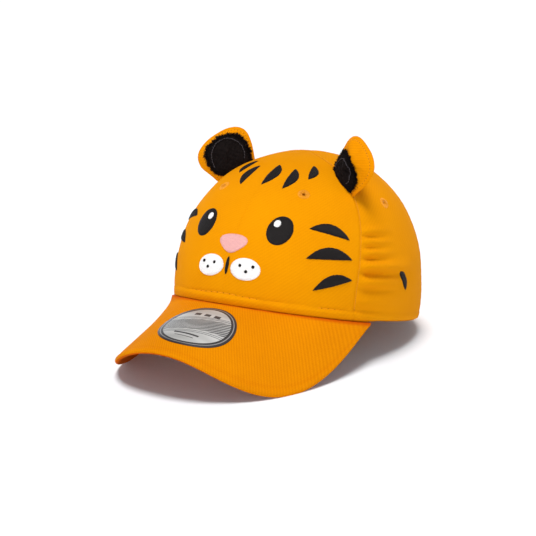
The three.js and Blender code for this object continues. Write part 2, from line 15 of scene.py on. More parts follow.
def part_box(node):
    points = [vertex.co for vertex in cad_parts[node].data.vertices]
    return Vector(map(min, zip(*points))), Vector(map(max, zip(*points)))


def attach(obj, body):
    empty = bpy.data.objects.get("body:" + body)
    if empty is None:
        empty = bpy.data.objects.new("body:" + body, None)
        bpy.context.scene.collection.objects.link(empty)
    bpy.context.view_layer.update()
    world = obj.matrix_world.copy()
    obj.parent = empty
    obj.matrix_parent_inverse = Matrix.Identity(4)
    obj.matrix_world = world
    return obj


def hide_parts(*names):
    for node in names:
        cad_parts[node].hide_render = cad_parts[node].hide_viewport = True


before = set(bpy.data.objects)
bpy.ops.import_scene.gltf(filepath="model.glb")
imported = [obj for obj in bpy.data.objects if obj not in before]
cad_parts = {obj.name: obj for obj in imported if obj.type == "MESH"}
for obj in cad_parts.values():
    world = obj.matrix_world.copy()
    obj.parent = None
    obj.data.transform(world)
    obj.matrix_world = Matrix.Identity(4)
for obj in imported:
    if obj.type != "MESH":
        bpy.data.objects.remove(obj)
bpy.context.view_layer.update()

DEG = math.pi / 180

# Crown
EDGE_HALF_WIDTH = 73.4
EDGE_HALF_LENGTH = 90.3
EDGE_SQUARENESS = 2.16
FRONT_EDGE_HEIGHT = 41.5
REAR_EDGE_HEIGHT = 0.4
SIDE_EDGE_DIP = 1.6
HEM_TUCK = 1.2
HEM_HEIGHT = 7
CROWN_HEIGHT = 120.8
APEX_SETBACK = 11.5
FRONT_ROUNDNESS = 2.23
REAR_ROUNDNESS = 1.79
SIDE_ROUNDNESS = 0.23
FRONT_SWELL = -5.1
REAR_SWELL = 7.9
SIDE_SWELL = 4.6
WALL = 1.8
SIDE_SEAM = 61 * DEG
SIDE_SEAM_BOW = 8.6 * DEG
REAR_SEAM = 120 * DEG
ARCH_HALF_WIDTH = 36
ARCH_HEIGHT = 43
ARCH_ROUND = ARCH_HALF_WIDTH * 0.9
ARCH_SPRING = ARCH_HEIGHT - ARCH_ROUND
BAND_END = 146 * DEG

# Brim
BRIM_THICKNESS = 3.2
BRIM_LENGTH = 63.9
BRIM_FRONT_DROP = 12.8
BRIM_FRONT_EASE = 1.445
SEAM_GAP = 0.35

# The brim's two sides, which are bent a little differently: left, then right
BRIM_REACH = np.array([70.9, 68.6]) * DEG
BRIM_FULLNESS = np.array([2.005, 2.793])
BRIM_SHOULDER = np.array([0.838, 0.785])
BRIM_FLARE = np.array([21.97, 15.25]) * DEG
BRIM_FLARE_EASE = np.array([0.912, 0.664])
BRIM_ARCH = np.array([2.14, 2.122])
BRIM_EASE = np.array([0.982, 0.572])
BRIM_CURL = np.array([-0.105, 0.141])
BRIM_DROOP = np.array([70.295, 53.414])

# Ears
EAR_HIGH = 68.9 * DEG
EAR_LOW = 49.9 * DEG
EAR_LEAD = 2.5 * DEG
EAR_LEAN = -8.2 * DEG
EAR_HALF_WIDTH = 17.1
EAR_WIDEST = 15.6
EAR_TOP = 11.2
EAR_HEIGHT = EAR_WIDEST + EAR_TOP
EAR_SHOULDER = 1.79
EAR_ROUNDNESS = 2.31
EAR_SWAY = -1.7
EAR_SIDE_SWEEP = 6.1
EAR_TOP_SWEEP = 7.2
EAR_CORNER_LIFT = 3.2
EAR_PADDING = 5.2

FOLD_DEPTH = 2.3
# Folds behind the side seams: height share, swell in wall thicknesses, spread, length share
FOLDS = [
    (0.13, 0.35, 2.0, 0.45),
    (0.258, 0.55, 1.6, 0.5),
    (0.36, 0.8, 1.5, 0.65),
    (0.445, 0.5, 1.3, 0.4),
    (0.515, 0.45, 1.3, 0.42),
    (0.58, 0.55, 1.2, 0.42),
]

# How far a seam sinks in, and how much painted shade lies along it, as a share of a plain seam's dip
SEAM_DEPTH = {"front": 0.05, "side_left": 0.25, "side_right": 0.25}
PLAIN_SEAM_DEPTH = 0.45
STITCH_OFFSET = 0.7
PUCKER_PITCH = 5.3
HEM_STITCH = 5.5
HEM_ROLL_HALF = 2.7
HEM_ROLL_SWELL = 1.25

# The plush patches' outlines across and up the ear, and the grey arc sewn on each: middle height, half width,
# half height, and where it starts and ends
FUR_LEFT = [
    (-11.6, 14), (-7.1, 16.4), (-2.6, 17), (1.4, 16.9), (4.6, 15.7), (8.1, 13.4), (10.5, 11.6), (12.2, 9.2),
    (12.6, 5.8), (12.2, 1.7), (8.4, -1.6), (2.8, -1.6), (-9.1, -0.5), (-12.2, 2.5), (-11.4, 7.2), (-11.8, 10),
]
FUR_RIGHT = [
    (13.8, 17.5), (11, 22.0), (7.7, 23), (3.6, 23.7), (0.2, 24), (-4.5, 23.3), (-8.5, 22), (-10.8, 19.4),
    (-13.4, 16), (-13.6, 12.2), (-13.6, 8.6), (-13.2, 4.6), (-12.4, 0.6), (-9.3, -1.6), (-3.4, -1.6),
    (7.8, 1.3), (13.2, 6.3), (13.9, 11), (14.3, 15.3),
]
ARC_LEFT = (6.5, 8.5, 7.8, -0.1, 1.1)
ARC_RIGHT = (10.5, 10.6, 11.1, -0.06, 1.2)

EAR_CENTRE = np.array([0.0, 12.5])
EAR_OUTSET = 0.7
# Where the ear's stitches run, as a share of the way out from its centre
EAR_SEWN = 0.875
# The most that the wadding may push the cloth out, in metres
WADDING_CAP = 0.0008
LOCKS = 4000
TUFTS = 44
TUFT_DEPTH = 0.9

THREAD_PITCH = 0.42
EYELET_HOLE = 0.95
EYELET_RADIUS = 3.7
EYELET_CUT = 1.1
EYELET_SPOKES = 44
STICKER_RADIUS = 22.7
STICKER_LIFT = 0.42
TAPE_DEPTH = 1.85
BINDING_HALF_THICKNESS = 1.45
BAND_DEPTH = WALL + 0.6
BRIM_STITCH = 4.2


def unit(v):
    return v / np.maximum(np.linalg.norm(v, axis=-1, keepdims=True), 1e-9)


def smooth(low, high, x):
    t = np.clip((x - low) / (high - low), 0, 1)
    return t * t * (3 - 2 * t)


def bell(x, width):
    return np.exp(-((x / width) ** 2))


def circle(count):
    return np.linspace(0, 2 * math.pi, count, endpoint=False)


def lengths(path):
    """How far along a path each of its points lies."""
    return np.concatenate([[0], np.cumsum(np.linalg.norm(np.diff(path, axis=0), axis=1))])


def metres(p):
    """Where a point in millimetres stands in the row frame."""
    return (p + (0, SHIFT, 0)) * 0.001


def ripple(x, y, seed):
    """A soft random surface of about unit height, for lengths near 1 in x and y."""
    rng = np.random.default_rng(seed)
    total = np.zeros(np.broadcast(x, y).shape)
    waves = 6
    for _ in range(waves):
        turn, phase, pace = rng.uniform(0, 2 * math.pi), rng.uniform(0, 2 * math.pi), rng.uniform(0.6, 1.7)
        total += np.sin(2 * math.pi * pace * (x * math.cos(turn) + y * math.sin(turn)) + phase)
    return total / math.sqrt(waves)


def signed_power(value, power):
    return np.sign(value) * np.abs(value) ** power


def points(x, y, z):
    return np.stack(np.broadcast_arrays(x, y, z), -1)


# Crown surface


def edge_point(b):
    x = EDGE_HALF_WIDTH * signed_power(np.sin(b), 2 / EDGE_SQUARENESS)
    y = -EDGE_HALF_LENGTH * signed_power(np.cos(b), 2 / EDGE_SQUARENESS)
    back = (1 + y / EDGE_HALF_LENGTH) / 2
    z = FRONT_EDGE_HEIGHT + (REAR_EDGE_HEIGHT - FRONT_EDGE_HEIGHT) * back - SIDE_EDGE_DIP * np.sin(b) ** 2
    return x, y, z


def crown_point(b, r):
    ex, ey, ez = edge_point(b)
    ahead, aside = np.cos(b), np.sin(b)
    roundness = REAR_ROUNDNESS + (FRONT_ROUNDNESS - REAR_ROUNDNESS) * (1 + ahead) / 2
    roundness = roundness + SIDE_ROUNDNESS * aside**2
    inward = np.cos(r) ** (2 / roundness)
    height = (CROWN_HEIGHT - ez) * np.sin(r) ** (2 / roundness)
    swell = FRONT_SWELL * np.maximum(ahead, 0) + REAR_SWELL * np.maximum(-ahead, 0) + SIDE_SWELL * aside**2
    tuck = HEM_TUCK * np.maximum(0, 1 - height / HEM_HEIGHT) ** 2
    push = swell * np.sin(2 * r) - tuck
    y = APEX_SETBACK + (ey - APEX_SETBACK) * inward - ahead * push
    return points(ex * inward + aside * push, y, ez + height)


def frame_of(surface, u, v, step):
    across = surface(u + step, v) - surface(u - step, v)
    up = surface(u, v + step) - surface(u, v - step)
    return unit(across), unit(up), unit(np.cross(across, up)), np.linalg.norm(across, axis=-1) / (2 * step)


def crown_frame(b, r):
    return frame_of(crown_point, b, np.clip(r, 1.5 * DEG, 89.4 * DEG), 0.2 * DEG)


def side_seam(r):
    return SIDE_SEAM + SIDE_SEAM_BOW * np.sin(2 * r) * np.sqrt(np.maximum(r, 0) / (45 * DEG))


EAR_CORNER = crown_point(np.array(SIDE_SEAM + 14 * DEG), np.array(52 * DEG))


def hem_roll(b):
    """How full the hem's roll is: it dies away sooner on the right."""
    on_right = 0.85 * smooth(24 * DEG, 52 * DEG, -b) + 0.15 * smooth(62 * DEG, 84 * DEG, -b)
    return 1 - np.where(b > 0, smooth(62 * DEG, 84 * DEG, b), on_right)


def over_brim(b):
    """1 where the crown stands on the brim, and 0 behind it."""
    return 1 - smooth(66 * DEG, 78 * DEG, np.abs(b))


def hem_stitch(b):
    """How high the hem's stitches run: a little higher in the middle."""
    return HEM_STITCH + bell(b, 10 * DEG)


SEAMS = {
    "front": lambda r: 0 * r,
    "side_left": side_seam,
    "rear_left": lambda r: REAR_SEAM + 0 * r,
    "back": lambda r: math.pi + 0 * r,
    "rear_right": lambda r: -REAR_SEAM + 0 * r,
    "side_right": lambda r: -side_seam(r),
}


def arch_height_at(x):
    inside = np.clip(1 - (x / ARCH_HALF_WIDTH) ** 2, 0, 1)
    return np.where(np.abs(x) < ARCH_HALF_WIDTH, ARCH_SPRING + ARCH_ROUND * np.sqrt(inside), -9)


def relief(b, r):
    """How far the sewn cloth stands off the plain crown, and how much painted shade it gets at seams, hem, arch
    edge and under the ears.
    """
    b = (b + math.pi) % (2 * math.pi) - math.pi
    bear = np.abs(b)
    metric = crown_frame(b, r)[3]
    p = crown_point(b, r)
    edge_z = edge_point(b)[2]
    height = p[..., 2] - edge_z
    share = height / (CROWN_HEIGHT - edge_z)
    total = np.zeros(np.broadcast(b, r).shape)
    painted_shade = np.zeros_like(total)
    for name, seam in SEAMS.items():
        away = (b - seam(r) + math.pi) % (2 * math.pi) - math.pi
        d = np.abs(away) * metric
        soft = SEAM_DEPTH.get(name, PLAIN_SEAM_DEPTH)
        dip = bell(d, 0.7)
        allowance = smooth(0.4, 1.3, d) * (1 - smooth(5.2, 7.0, d))
        pucker = np.sin(2 * math.pi * p[..., 2] / PUCKER_PITCH + 2.2 * np.sin(p[..., 2] / 9 + 3 * np.sign(away)))
        total += soft * (-0.7 * dip + 0.2 * allowance + 0.12 * pucker * bell(d - 3, 3.4))
        # Painted shade along each seam's dip
        painted_shade += 0.7 * soft * dip
    # The hem: a full roll over the brim, and a plain turned edge with one row of stitches behind it
    roll = hem_roll(b)
    body = np.sqrt(np.clip(1 - ((height - HEM_ROLL_HALF) / HEM_ROLL_HALF) ** 2, 0, 1))
    waves = 1 + 0.16 * ripple(b * 7, height * 0.02, 5)
    sewn = bell(height - hem_stitch(b), 0.8)
    total += roll * (HEM_ROLL_SWELL * body * waves - 0.3 * sewn) + (1 - roll) * (0.3 * body - 0.2 * sewn)
    total -= 0.9 * (1 - over_brim(b)) * (1 - smooth(0, 0.9, height)) ** 2
    upright = np.where(b < 0, smooth(24 * DEG, 52 * DEG, -b) * over_brim(b), 0)
    total += upright * (HEM_TUCK * np.maximum(0, 1 - height / HEM_HEIGHT) ** 2 - 0.3 * body)
    # Painted shade at the hem's stitch row and along the crown's lower edge
    painted_shade += 0.12 * sewn + 0.8 * (1 - smooth(0, 1.0, height))
    # Folds that fan out behind the side seams
    behind = (bear - side_seam(r)) / (REAR_SEAM - side_seam(r))
    inside = (behind > 0) & (behind < 1)
    for fold_height, swell, spread, length in FOLDS:
        line = fold_height - 0.05 * behind**2 * length
        width = spread * WALL / (CROWN_HEIGHT - FRONT_EDGE_HEIGHT / 2) * (1 + 0.7 * behind)
        q = (share - line) / width
        along = np.maximum(0, 1 - behind / length) ** 0.8 * np.clip(behind / 0.1, 0, 1)
        crest = bell(q, 1) - 0.85 * bell(q + 1.4, 0.7) - 0.2 * bell(q - 1.7, 0.9)
        total += np.where(inside, FOLD_DEPTH * swell * WALL * crest * along, 0)
    calm = 1 - 0.55 * smooth(70 * DEG, 45 * DEG, bear)
    total += 0.22 * calm * ripple(p[..., 0] / 46, p[..., 2] / 38 + np.sign(b), 11) * smooth(0, 12, height)
    # Painted shade on the cloth where an ear's low corner hangs over it
    under_ear = np.linalg.norm(points(np.abs(p[..., 0]), p[..., 1], p[..., 2]) - EAR_CORNER, axis=-1)
    painted_shade += 0.6 * bell(under_ear, 8) * (bear > side_seam(r))
    # Painted shade along the arch's edge, by its binding
    rim = np.where(p[..., 1] > 40, np.abs(p[..., 2] - arch_height_at(p[..., 0])), 99)
    painted_shade += 0.4 * bell(rim, 3)
    return total, painted_shade


def crown_surface(b, r, lift=0.0):
    """The finished outer face, with its outward direction."""
    out = crown_frame(b, r)[2]
    plain = crown_point(b, r)
    p = plain + out * (relief(b, r)[0] + lift)[..., None]
    p[..., 2] -= 0.8 * over_brim(b) * (1 - smooth(0, 3, plain[..., 2] - edge_point(b)[2]))
    return p, out


def rise_at(b, height):
    """The rise where the crown is so many millimetres above its edge."""
    low = np.zeros(np.broadcast(b, height).shape)
    high = low + 85 * DEG
    for _ in range(34):
        middle = (low + high) / 2
        below = crown_point(b, middle)[..., 2] - edge_point(b)[2] < height
        low = np.where(below, middle, low)
        high = np.where(below, high, middle)
    return low


# Brim surface


def brim_extent(a):
    side = np.where(a < 0, 1, 0)
    return BRIM_LENGTH * (1 - np.abs(a) ** BRIM_FULLNESS[side]) ** (1 / BRIM_SHOULDER[side])


def brim_plan(a, distance):
    """Where a point of the brim lies in plan, by share across and distance from the crown's edge."""
    side = np.where(a < 0, 1, 0)
    ex, ey, ez = edge_point(a * BRIM_REACH[side])
    flare = BRIM_FLARE[side] * signed_power(a, BRIM_FLARE_EASE[side])
    return ex + distance * np.sin(flare), ey - distance * np.cos(flare), ez, side


def brim_at(a, distance):
    """A point of the brim's middle surface."""
    x, y, ez, side = brim_plan(a, distance)
    reach = np.maximum(0, distance / BRIM_LENGTH)
    arch = (np.abs(x) / EDGE_HALF_WIDTH) ** BRIM_ARCH[side]
    droop = BRIM_DROOP[side] * arch * (reach ** BRIM_EASE[side] - BRIM_CURL[side] * reach**3)
    return points(x, y, ez - SEAM_GAP - BRIM_THICKNESS / 2 - BRIM_FRONT_DROP * reach**BRIM_FRONT_EASE - droop)


def brim_surface(a, share, lift):
    """A point off the brim: above it with a positive lift, under it with a negative one."""
    surface = lambda u, v: brim_at(u, v * brim_extent(u))
    down = frame_of(surface, np.clip(a, -0.965, 0.965), np.maximum(share, 0.03), 0.003)[2]
    p = surface(a, share) - down * np.asarray(lift)[..., None]
    p[..., 2] = np.maximum(p[..., 2], 0)
    return p, -down


low_y = brim_at(np.array(0.0), np.array(BRIM_LENGTH))[1]
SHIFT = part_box("brim")[0].y * 1000 - float(low_y)

# Meshes


def put(name, data):
    """Adds an object to the scene."""
    obj = bpy.data.objects.new(name, data)
    bpy.context.scene.collection.objects.link(obj)
    return obj


def aim(obj, direction, axis="Z"):
    """Turns one of an object's own axes to a direction."""
    obj.rotation_mode = "QUATERNION"
    obj.rotation_quaternion = direction.to_track_quat(axis, "Y")


def apply_modifiers(obj):
    """Keeps the mesh that an object's modifiers make."""
    bpy.context.view_layer.update()
    done = bpy.data.meshes.new_from_object(obj.evaluated_get(bpy.context.evaluated_depsgraph_get()))
    obj.modifiers.clear()
    old, obj.data = obj.data, done
    bpy.data.meshes.remove(old)


def make_mesh(name, vertices, faces, uvs=None, painted_shade=None, sharp=50):
    """An object from millimetre points, with its faces turned outwards."""
    placed = metres(np.asarray(vertices, float).reshape(-1, 3))
    mesh = bpy.data.meshes.new(name)
    mesh.from_pydata(placed.tolist(), [], [tuple(int(i) for i in f) for f in faces])
    mesh.polygons.foreach_set("use_smooth", np.ones(len(mesh.polygons), bool))
    mesh.calc_loop_triangles()
    corners = np.zeros(len(mesh.loop_triangles) * 3, np.int32)
    mesh.loop_triangles.foreach_get("vertices", corners)
    p, q, r = placed[corners].reshape(-1, 3, 3).transpose(1, 0, 2)
    if (p * np.cross(q, r)).sum() < -1e-12:
        mesh.flip_normals()
    corner = np.zeros(len(mesh.loops), np.int32)
    mesh.loops.foreach_get("vertex_index", corner)
    if uvs is not None:
        layer = mesh.uv_layers.new(name="cloth")
        layer.uv.foreach_set("vector", np.asarray(uvs, np.float32).reshape(-1, 2)[corner].ravel())
    # A float attribute of painted shade, by which the twill is darkened
    if painted_shade is not None:
        layer = mesh.attributes.new("painted_shade", "FLOAT", "POINT")
        layer.data.foreach_set("value", np.clip(np.asarray(painted_shade, np.float32).ravel(), 0, 1))
    mesh.update()
    if sharp:
        mesh.set_sharp_from_angle(angle=sharp * DEG)
    return put(name, mesh)


def grid_faces(rows, columns, start=0, flip=False, around=False):
    i, j = np.meshgrid(np.arange(rows - 1), np.arange(columns if around else columns - 1), indexing="ij")
    k = (j + 1) % columns
    faces = np.stack([i * columns + j, i * columns + k, (i + 1) * columns + k, (i + 1) * columns + j], -1)
    faces = faces.reshape(-1, 4) + start
    return faces[:, ::-1] if flip else faces


def shell(name, outer, inner, uv=None, painted_shade=None, sharp=50, around=False, shade=0.0):
    """A closed solid between two grids of points. Round a ring, only its two rims are walled."""
    rows, columns = outer.shape[:2]
    count = rows * columns
    faces = [grid_faces(rows, columns, 0, False, around), grid_faces(rows, columns, count, True, around)]
    if around:
        top = count - columns
        steps = [(j, (j + 1) % columns) for j in range(columns)]
        rim = [(b, a, count + a, count + b) for a, b in steps]
        rim += [(top + a, top + b, count + top + b, count + top + a) for a, b in steps]
    else:
        index = np.arange(count).reshape(rows, columns)
        ring = np.concatenate([index[0], index[1:, -1], index[-1, -2::-1], index[-2:0:-1, 0]])
        rim = [(b, a, count + a, count + b) for a, b in zip(ring, np.roll(ring, -1))]
    faces = [tuple(f) for block in faces for f in block] + rim
    uvs = None if uv is None else np.concatenate([uv.reshape(-1, 2)] * 2)
    # The inner sheet gets 0.6 of the outer's painted shade, plus a given painted shade of its own
    painted_shades = None if painted_shade is None else np.concatenate([painted_shade.ravel(), painted_shade.ravel() * 0.6 + shade])
    both = np.concatenate([outer.reshape(-1, 3), inner.reshape(-1, 3)])
    return make_mesh(name, both, faces, uvs, painted_shades, sharp)


def disc(name, outer, inner, turns, uvs, sharp):
    """A closed disc between two sheets, each given ring by ring from the middle out, with its centre last."""
    count = len(outer)
    last = count - 1 - turns
    steps = [(j, (j + 1) % turns) for j in range(turns)]
    sheet = [tuple(f) for f in grid_faces(count // turns, turns, 0, False, True)]
    sheet += [(count - 1, b, a) for a, b in steps]
    wall = [(last + b, last + a, count + last + a, count + last + b) for a, b in steps]
    faces = sheet + [tuple(count + i for i in f[::-1]) for f in sheet] + wall
    return make_mesh(name, np.concatenate([outer, inner]), faces, uvs, None, sharp)


def tube(name, path, side, up, profile):
    """Sweeps a closed profile of (side, up) offsets along a path with its own two directions."""
    n, m = len(path), len(profile)
    rings = path[:, None] + side[:, None] * profile[None, :, :1] + up[:, None] * profile[None, :, 1:]
    faces = [tuple(f) for f in grid_faces(n, m, 0, True, True)]
    faces += [tuple(range(m)), tuple((n - 1) * m + i for i in range(m - 1, -1, -1))]
    girth = np.linspace(0, 1, m) * np.linalg.norm(np.diff(profile, axis=0), axis=1).sum()
    uv = np.stack(np.meshgrid(lengths(path), girth, indexing="ij"), -1)
    return make_mesh(name, rings, faces, uv)


def oval_profile(half_width, half_height, count, square):
    t = circle(count)
    x = half_width * signed_power(np.cos(t), 2 / square)
    return np.stack([x, half_height * signed_power(np.sin(t), 2 / square)], -1)


# A stitch's cross sections: share along its half length, and share of its width
STITCH_RINGS = [(-1.0, 0.0), (-0.86, 0.6), (-0.4, 0.95), (0.4, 0.95), (0.86, 0.6), (1.0, 0.0)]


def repeated(faces, size, count):
    """The faces of many like bodies, each with so many vertices."""
    return [tuple(k + base for k in f) for base in range(0, size * count, size) for f in faces]


def stitches(name, rows, pitch, length, width, height, sink=0.1, phase=0.5):
    """One object with all the stitches of several rows. A row is its points and their outward directions."""
    t, radius = np.array(STITCH_RINGS).T[:, None, :, None, None]
    angle = circle(6)[:, None]
    bodies = []
    for path, out in rows:
        along = lengths(path)
        count = max(1, int(round(along[-1] / pitch)))
        middle = (np.arange(count) + phase) * along[-1] / count

        def at(s, values):
            return np.stack([np.interp(s, along, values[:, c]) for c in range(3)], -1)[:, None, None]

        normal = unit(at(middle, out))
        forward = unit(at(middle + 0.3, path) - at(middle - 0.3, path))
        side = unit(np.cross(normal, forward))
        centre = at(middle, path) + forward * t * length / 2 - normal * (sink + 0.35 * height * t * t)
        ring = centre + side * np.cos(angle) * radius * width / 2 + normal * np.sin(angle) * radius * height
        # The first and last rings are single points
        bodies.append(ring.reshape(count, 36, 3)[:, 5:31])
    steps = [(i, (i + 1) % 6) for i in range(6)]
    faces = [(0, 1 + j, 1 + i) for i, j in steps] + [(25, 19 + i, 19 + j) for i, j in steps]
    faces += [(a + i, a + j, a + 6 + j, a + 6 + i) for a in (1, 7, 13) for i, j in steps]
    bodies = np.concatenate(bodies)
    return make_mesh(name, bodies, repeated(faces, 26, len(bodies)), None, None, 0)


# Materials


def linear(hex_colour):
    channels = [int(hex_colour[i:i + 2], 16) / 255 for i in (0, 2, 4)]
    return [c / 12.92 if c <= 0.04045 else ((c + 0.055) / 1.055) ** 2.4 for c in channels] + [1.0]


class Nodes:
    """Short calls for building one material."""

    def __init__(self, name, roughness, **sockets):
        self.material = bpy.data.materials.new(name)
        self.material.use_nodes = True
        self.tree = self.material.node_tree
        self.shader = self.tree.nodes["Principled BSDF"]
        self.shader.inputs["Roughness"].default_value = roughness
        for socket, value in sockets.items():
            self.shader.inputs[socket.replace("_", " ")].default_value = value

    def add(self, kind, inputs=None, **settings):
        node = self.tree.nodes.new(kind)
        for key, value in settings.items():
            setattr(node, key, value)
        for key, value in (inputs or {}).items():
            if isinstance(value, bpy.types.NodeSocket):
                self.tree.links.new(value, node.inputs[key])
            else:
                node.inputs[key].default_value = value
        return node

    def cloth_map(self, turn=0.0, scale=(1, 1, 1)):
        where = self.add("ShaderNodeUVMap", uv_map="cloth")
        inputs = {"Vector": where.outputs["UV"], "Rotation": (0, 0, turn), "Scale": scale}
        return self.add("ShaderNodeMapping", inputs).outputs["Vector"]

    def place(self, scale=1000):
        where = self.add("ShaderNodeTexCoord").outputs["Object"]
        return self.add("ShaderNodeMapping", {"Vector": where, "Scale": (scale,) * 3}).outputs["Vector"]

    def wave(self, vector, period, distortion=0.0, direction="X"):
        inputs = {"Vector": vector, "Scale": 0.314159 / period, "Distortion": distortion}
        inputs |= {"Detail": 1.0, "Detail Scale": 2.0}
        return self.add("ShaderNodeTexWave", inputs, bands_direction=direction).outputs["Fac"]

    def noise(self, vector, scale, detail=3.0):
        inputs = {"Vector": vector, "Scale": scale, "Detail": detail, "Roughness": 0.55}
        return self.add("ShaderNodeTexNoise", inputs).outputs["Fac"]

    def math(self, operation, a, b=0.0):
        return self.add("ShaderNodeMath", {0: a, 1: b}, operation=operation).outputs[0]

    def plus(self, a, b):
        return self.math("ADD", a, b)

    def times(self, a, b):
        return self.math("MULTIPLY", a, b)

    def near(self, value, centre, reach):
        """1 where a value lies within reach of a centre."""
        return self.math("LESS_THAN", self.math("ABSOLUTE", self.math("SUBTRACT", value, centre)), reach)

    def ramp(self, value, stops):
        node = self.add("ShaderNodeValToRGB", {"Fac": value})
        element = node.color_ramp.elements
        while len(element) < len(stops):
            element.new(0.5)
        for item, (at, colour) in zip(element, stops):
            item.position = at
            item.color = colour
        return node.outputs["Color"]

    def mix(self, factor, a, b):
        return self.add("ShaderNodeMix", {0: factor, 6: a, 7: b}, data_type="RGBA").outputs[2]

    def colour(self, socket):
        self.tree.links.new(socket, self.shader.inputs["Base Color"])

    def bump(self, height, strength, distance):
        node = self.add("ShaderNodeBump", {"Height": height, "Strength": strength, "Distance": distance})
        self.tree.links.new(node.outputs["Normal"], self.shader.inputs["Normal"])


def twill(name, light, dark, period, shade_colour="7a2a02", bump=0.2, turn=52, rib=0.26, shade_weight=0.55, with_painted_shade=True):
    """Cotton twill: fine diagonal ribs broken by the crossing yarn, a little mottled, and darkened with painted
    shade where its mesh asks.
    """
    m = Nodes(name, 0.9, Sheen_Weight=0.03, Sheen_Roughness=0.5, Specular_IOR_Level=0.03)
    m.shader.inputs["Sheen Tint"].default_value = linear("ffa020")
    ribs = m.wave(m.cloth_map(turn * DEG), period, 0.35)
    yarn = m.wave(m.cloth_map((turn - 60) * DEG), period * 0.62, 0.25)
    weave = m.plus(m.times(ribs, 0.75), m.times(yarn, 0.25))
    where = m.place()
    mottle = m.noise(where, 0.035)
    slub = m.noise(m.cloth_map(0, (0.25, 1.6, 1)), 1.2, 2.0)
    tone = m.plus(m.times(weave, rib), m.plus(m.times(mottle, 0.4), m.times(slub, 0.3)))
    colour = m.ramp(tone, [(0.22, linear(dark)), (0.8, linear(light))])
    # Painted shade: a darker colour, mixed in as far as the mesh's shade attribute asks
    if with_painted_shade:
        painted_shade = m.add("ShaderNodeAttribute", attribute_name="painted_shade").outputs["Fac"]
        colour = m.mix(m.times(painted_shade, shade_weight), colour, linear(shade_colour))
    m.colour(colour)
    m.bump(m.plus(weave, m.times(m.noise(where, 1.4), 0.5)), bump, 0.00022)
    return m.material


def thread(name, light, dark, sheen=0.06, specular=0.25):
    """Satin stitch: threads side by side along the cloth map's first direction."""
    m = Nodes(name, 0.55, Sheen_Weight=sheen, Sheen_Roughness=0.4, Specular_IOR_Level=specular)
    lines = m.wave(m.cloth_map(0), THREAD_PITCH, 0.2)
    patchy = m.noise(m.cloth_map(0, (1.0, 0.35, 1)), 0.9)
    tone = m.plus(m.times(lines, 0.6), m.times(patchy, 0.5))
    m.colour(m.ramp(tone, [(0.2, linear(dark)), (0.85, linear(light))]))
    m.bump(m.plus(lines, m.times(patchy, 0.4)), 0.6, 0.00018)
    return m.material


def plain_thread(name, light, dark):
    """Sewing thread, with its twist."""
    m = Nodes(name, 0.6, Sheen_Weight=0.04, Specular_IOR_Level=0.15)
    twist = m.wave(m.place(), 0.5, 0.6, "DIAGONAL")
    m.colour(m.ramp(twist, [(0.1, linear(dark)), (0.9, linear(light))]))
    m.bump(twist, 0.4, 0.0001)
    return m.material


def fleece(name):
    """Black plush, a little brown where light catches it."""
    m = Nodes(name, 0.95, Sheen_Weight=0.12, Sheen_Roughness=0.4, Specular_IOR_Level=0.08)
    m.shader.inputs["Sheen Tint"].default_value = linear("5a4c48")
    where = m.place()
    m.colour(m.ramp(m.noise(where, 0.9, 4.0), [(0.3, linear("0c0808")), (0.75, linear("1b1412"))]))
    m.bump(m.noise(where, 2.6, 4.0), 0.8, 0.0004)
    return m.material


# The sticker's printed bars: middle and half size across, then up
FOIL_BARS = [
    (0, 8, -11.5, 0.7),
    (0, 6, -14.3, 0.3),
    (-6.5, 2, 12, 1.4),
    (0, 2, 12, 1.4),
    (6.5, 2, 12, 1.4),
]


def foil_print():
    """The sticker: silver film with a dark rim, plain bars and a hatched band, mapped from its middle."""
    m = Nodes("sticker_foil", 0.38, Specular_IOR_Level=0.5, Metallic=0.25)
    where = m.add("ShaderNodeUVMap", uv_map="cloth").outputs["UV"]
    xy = m.add("ShaderNodeSeparateXYZ", {"Vector": where})
    x, y = xy.outputs["X"], xy.outputs["Y"]
    radius = m.math("SQRT", m.plus(m.times(x, x), m.times(y, y)))
    shine = m.noise(m.cloth_map(30 * DEG, (0.02, 0.11, 1)), 1.0, 1.0)
    face = m.ramp(shine, [(0.3, linear("a3a29e")), (0.7, linear("c9c8c4"))])
    hatch = m.math("GREATER_THAN", m.wave(m.cloth_map(65 * DEG), 1.5), 0.42)
    slope = m.plus(y, m.times(x, -0.18))
    face = m.mix(m.times(m.near(slope, 0, 6.2), hatch), face, linear("454445"))
    for across, half_width, up, half_height in FOIL_BARS:
        bar = m.times(m.near(x, across, half_width), m.near(y, up, half_height))
        face = m.mix(bar, face, linear("3c3a3b"))
    for line in (7.6, 9.0):
        face = m.mix(m.near(m.math("ABSOLUTE", slope), line, 0.22), face, linear("4b4d50"))
    face = m.mix(m.math("GREATER_THAN", radius, 19.5), face, linear("2e2b2b"))
    m.colour(m.mix(m.near(radius, 21.1, 0.27), face, linear("8d8a88")))
    m.bump(m.noise(m.place(), 0.12, 2.0), 0.25, 0.0006)
    return m.material


# The twills' painted shade colour is a dark red-brown, and on the brim a brighter red-brown, strongly mixed in
TWILL = twill("orange_twill", "dc8f00", "ce7e00", 1.85, rib=0.2)
BRIM_TWILL = twill("orange_brim_twill", "d78300", "c26e00", 1.4, "b44000", 0.35, 33, 0.28, 0.85)
EAR_TWILL = twill("orange_ear_twill", "e08c00", "cc7a00", 1.5)
BAND_CLOTH = twill("sweatband_cloth", "dd8800", "c47000", 0.8)
TAPE_CLOTH = twill("seam_tape_cloth", "dd8800", "c47000", 0.7, with_painted_shade=False)
ORANGE_THREAD = plain_thread("orange_sewing_thread", "f0a018", "d88200")
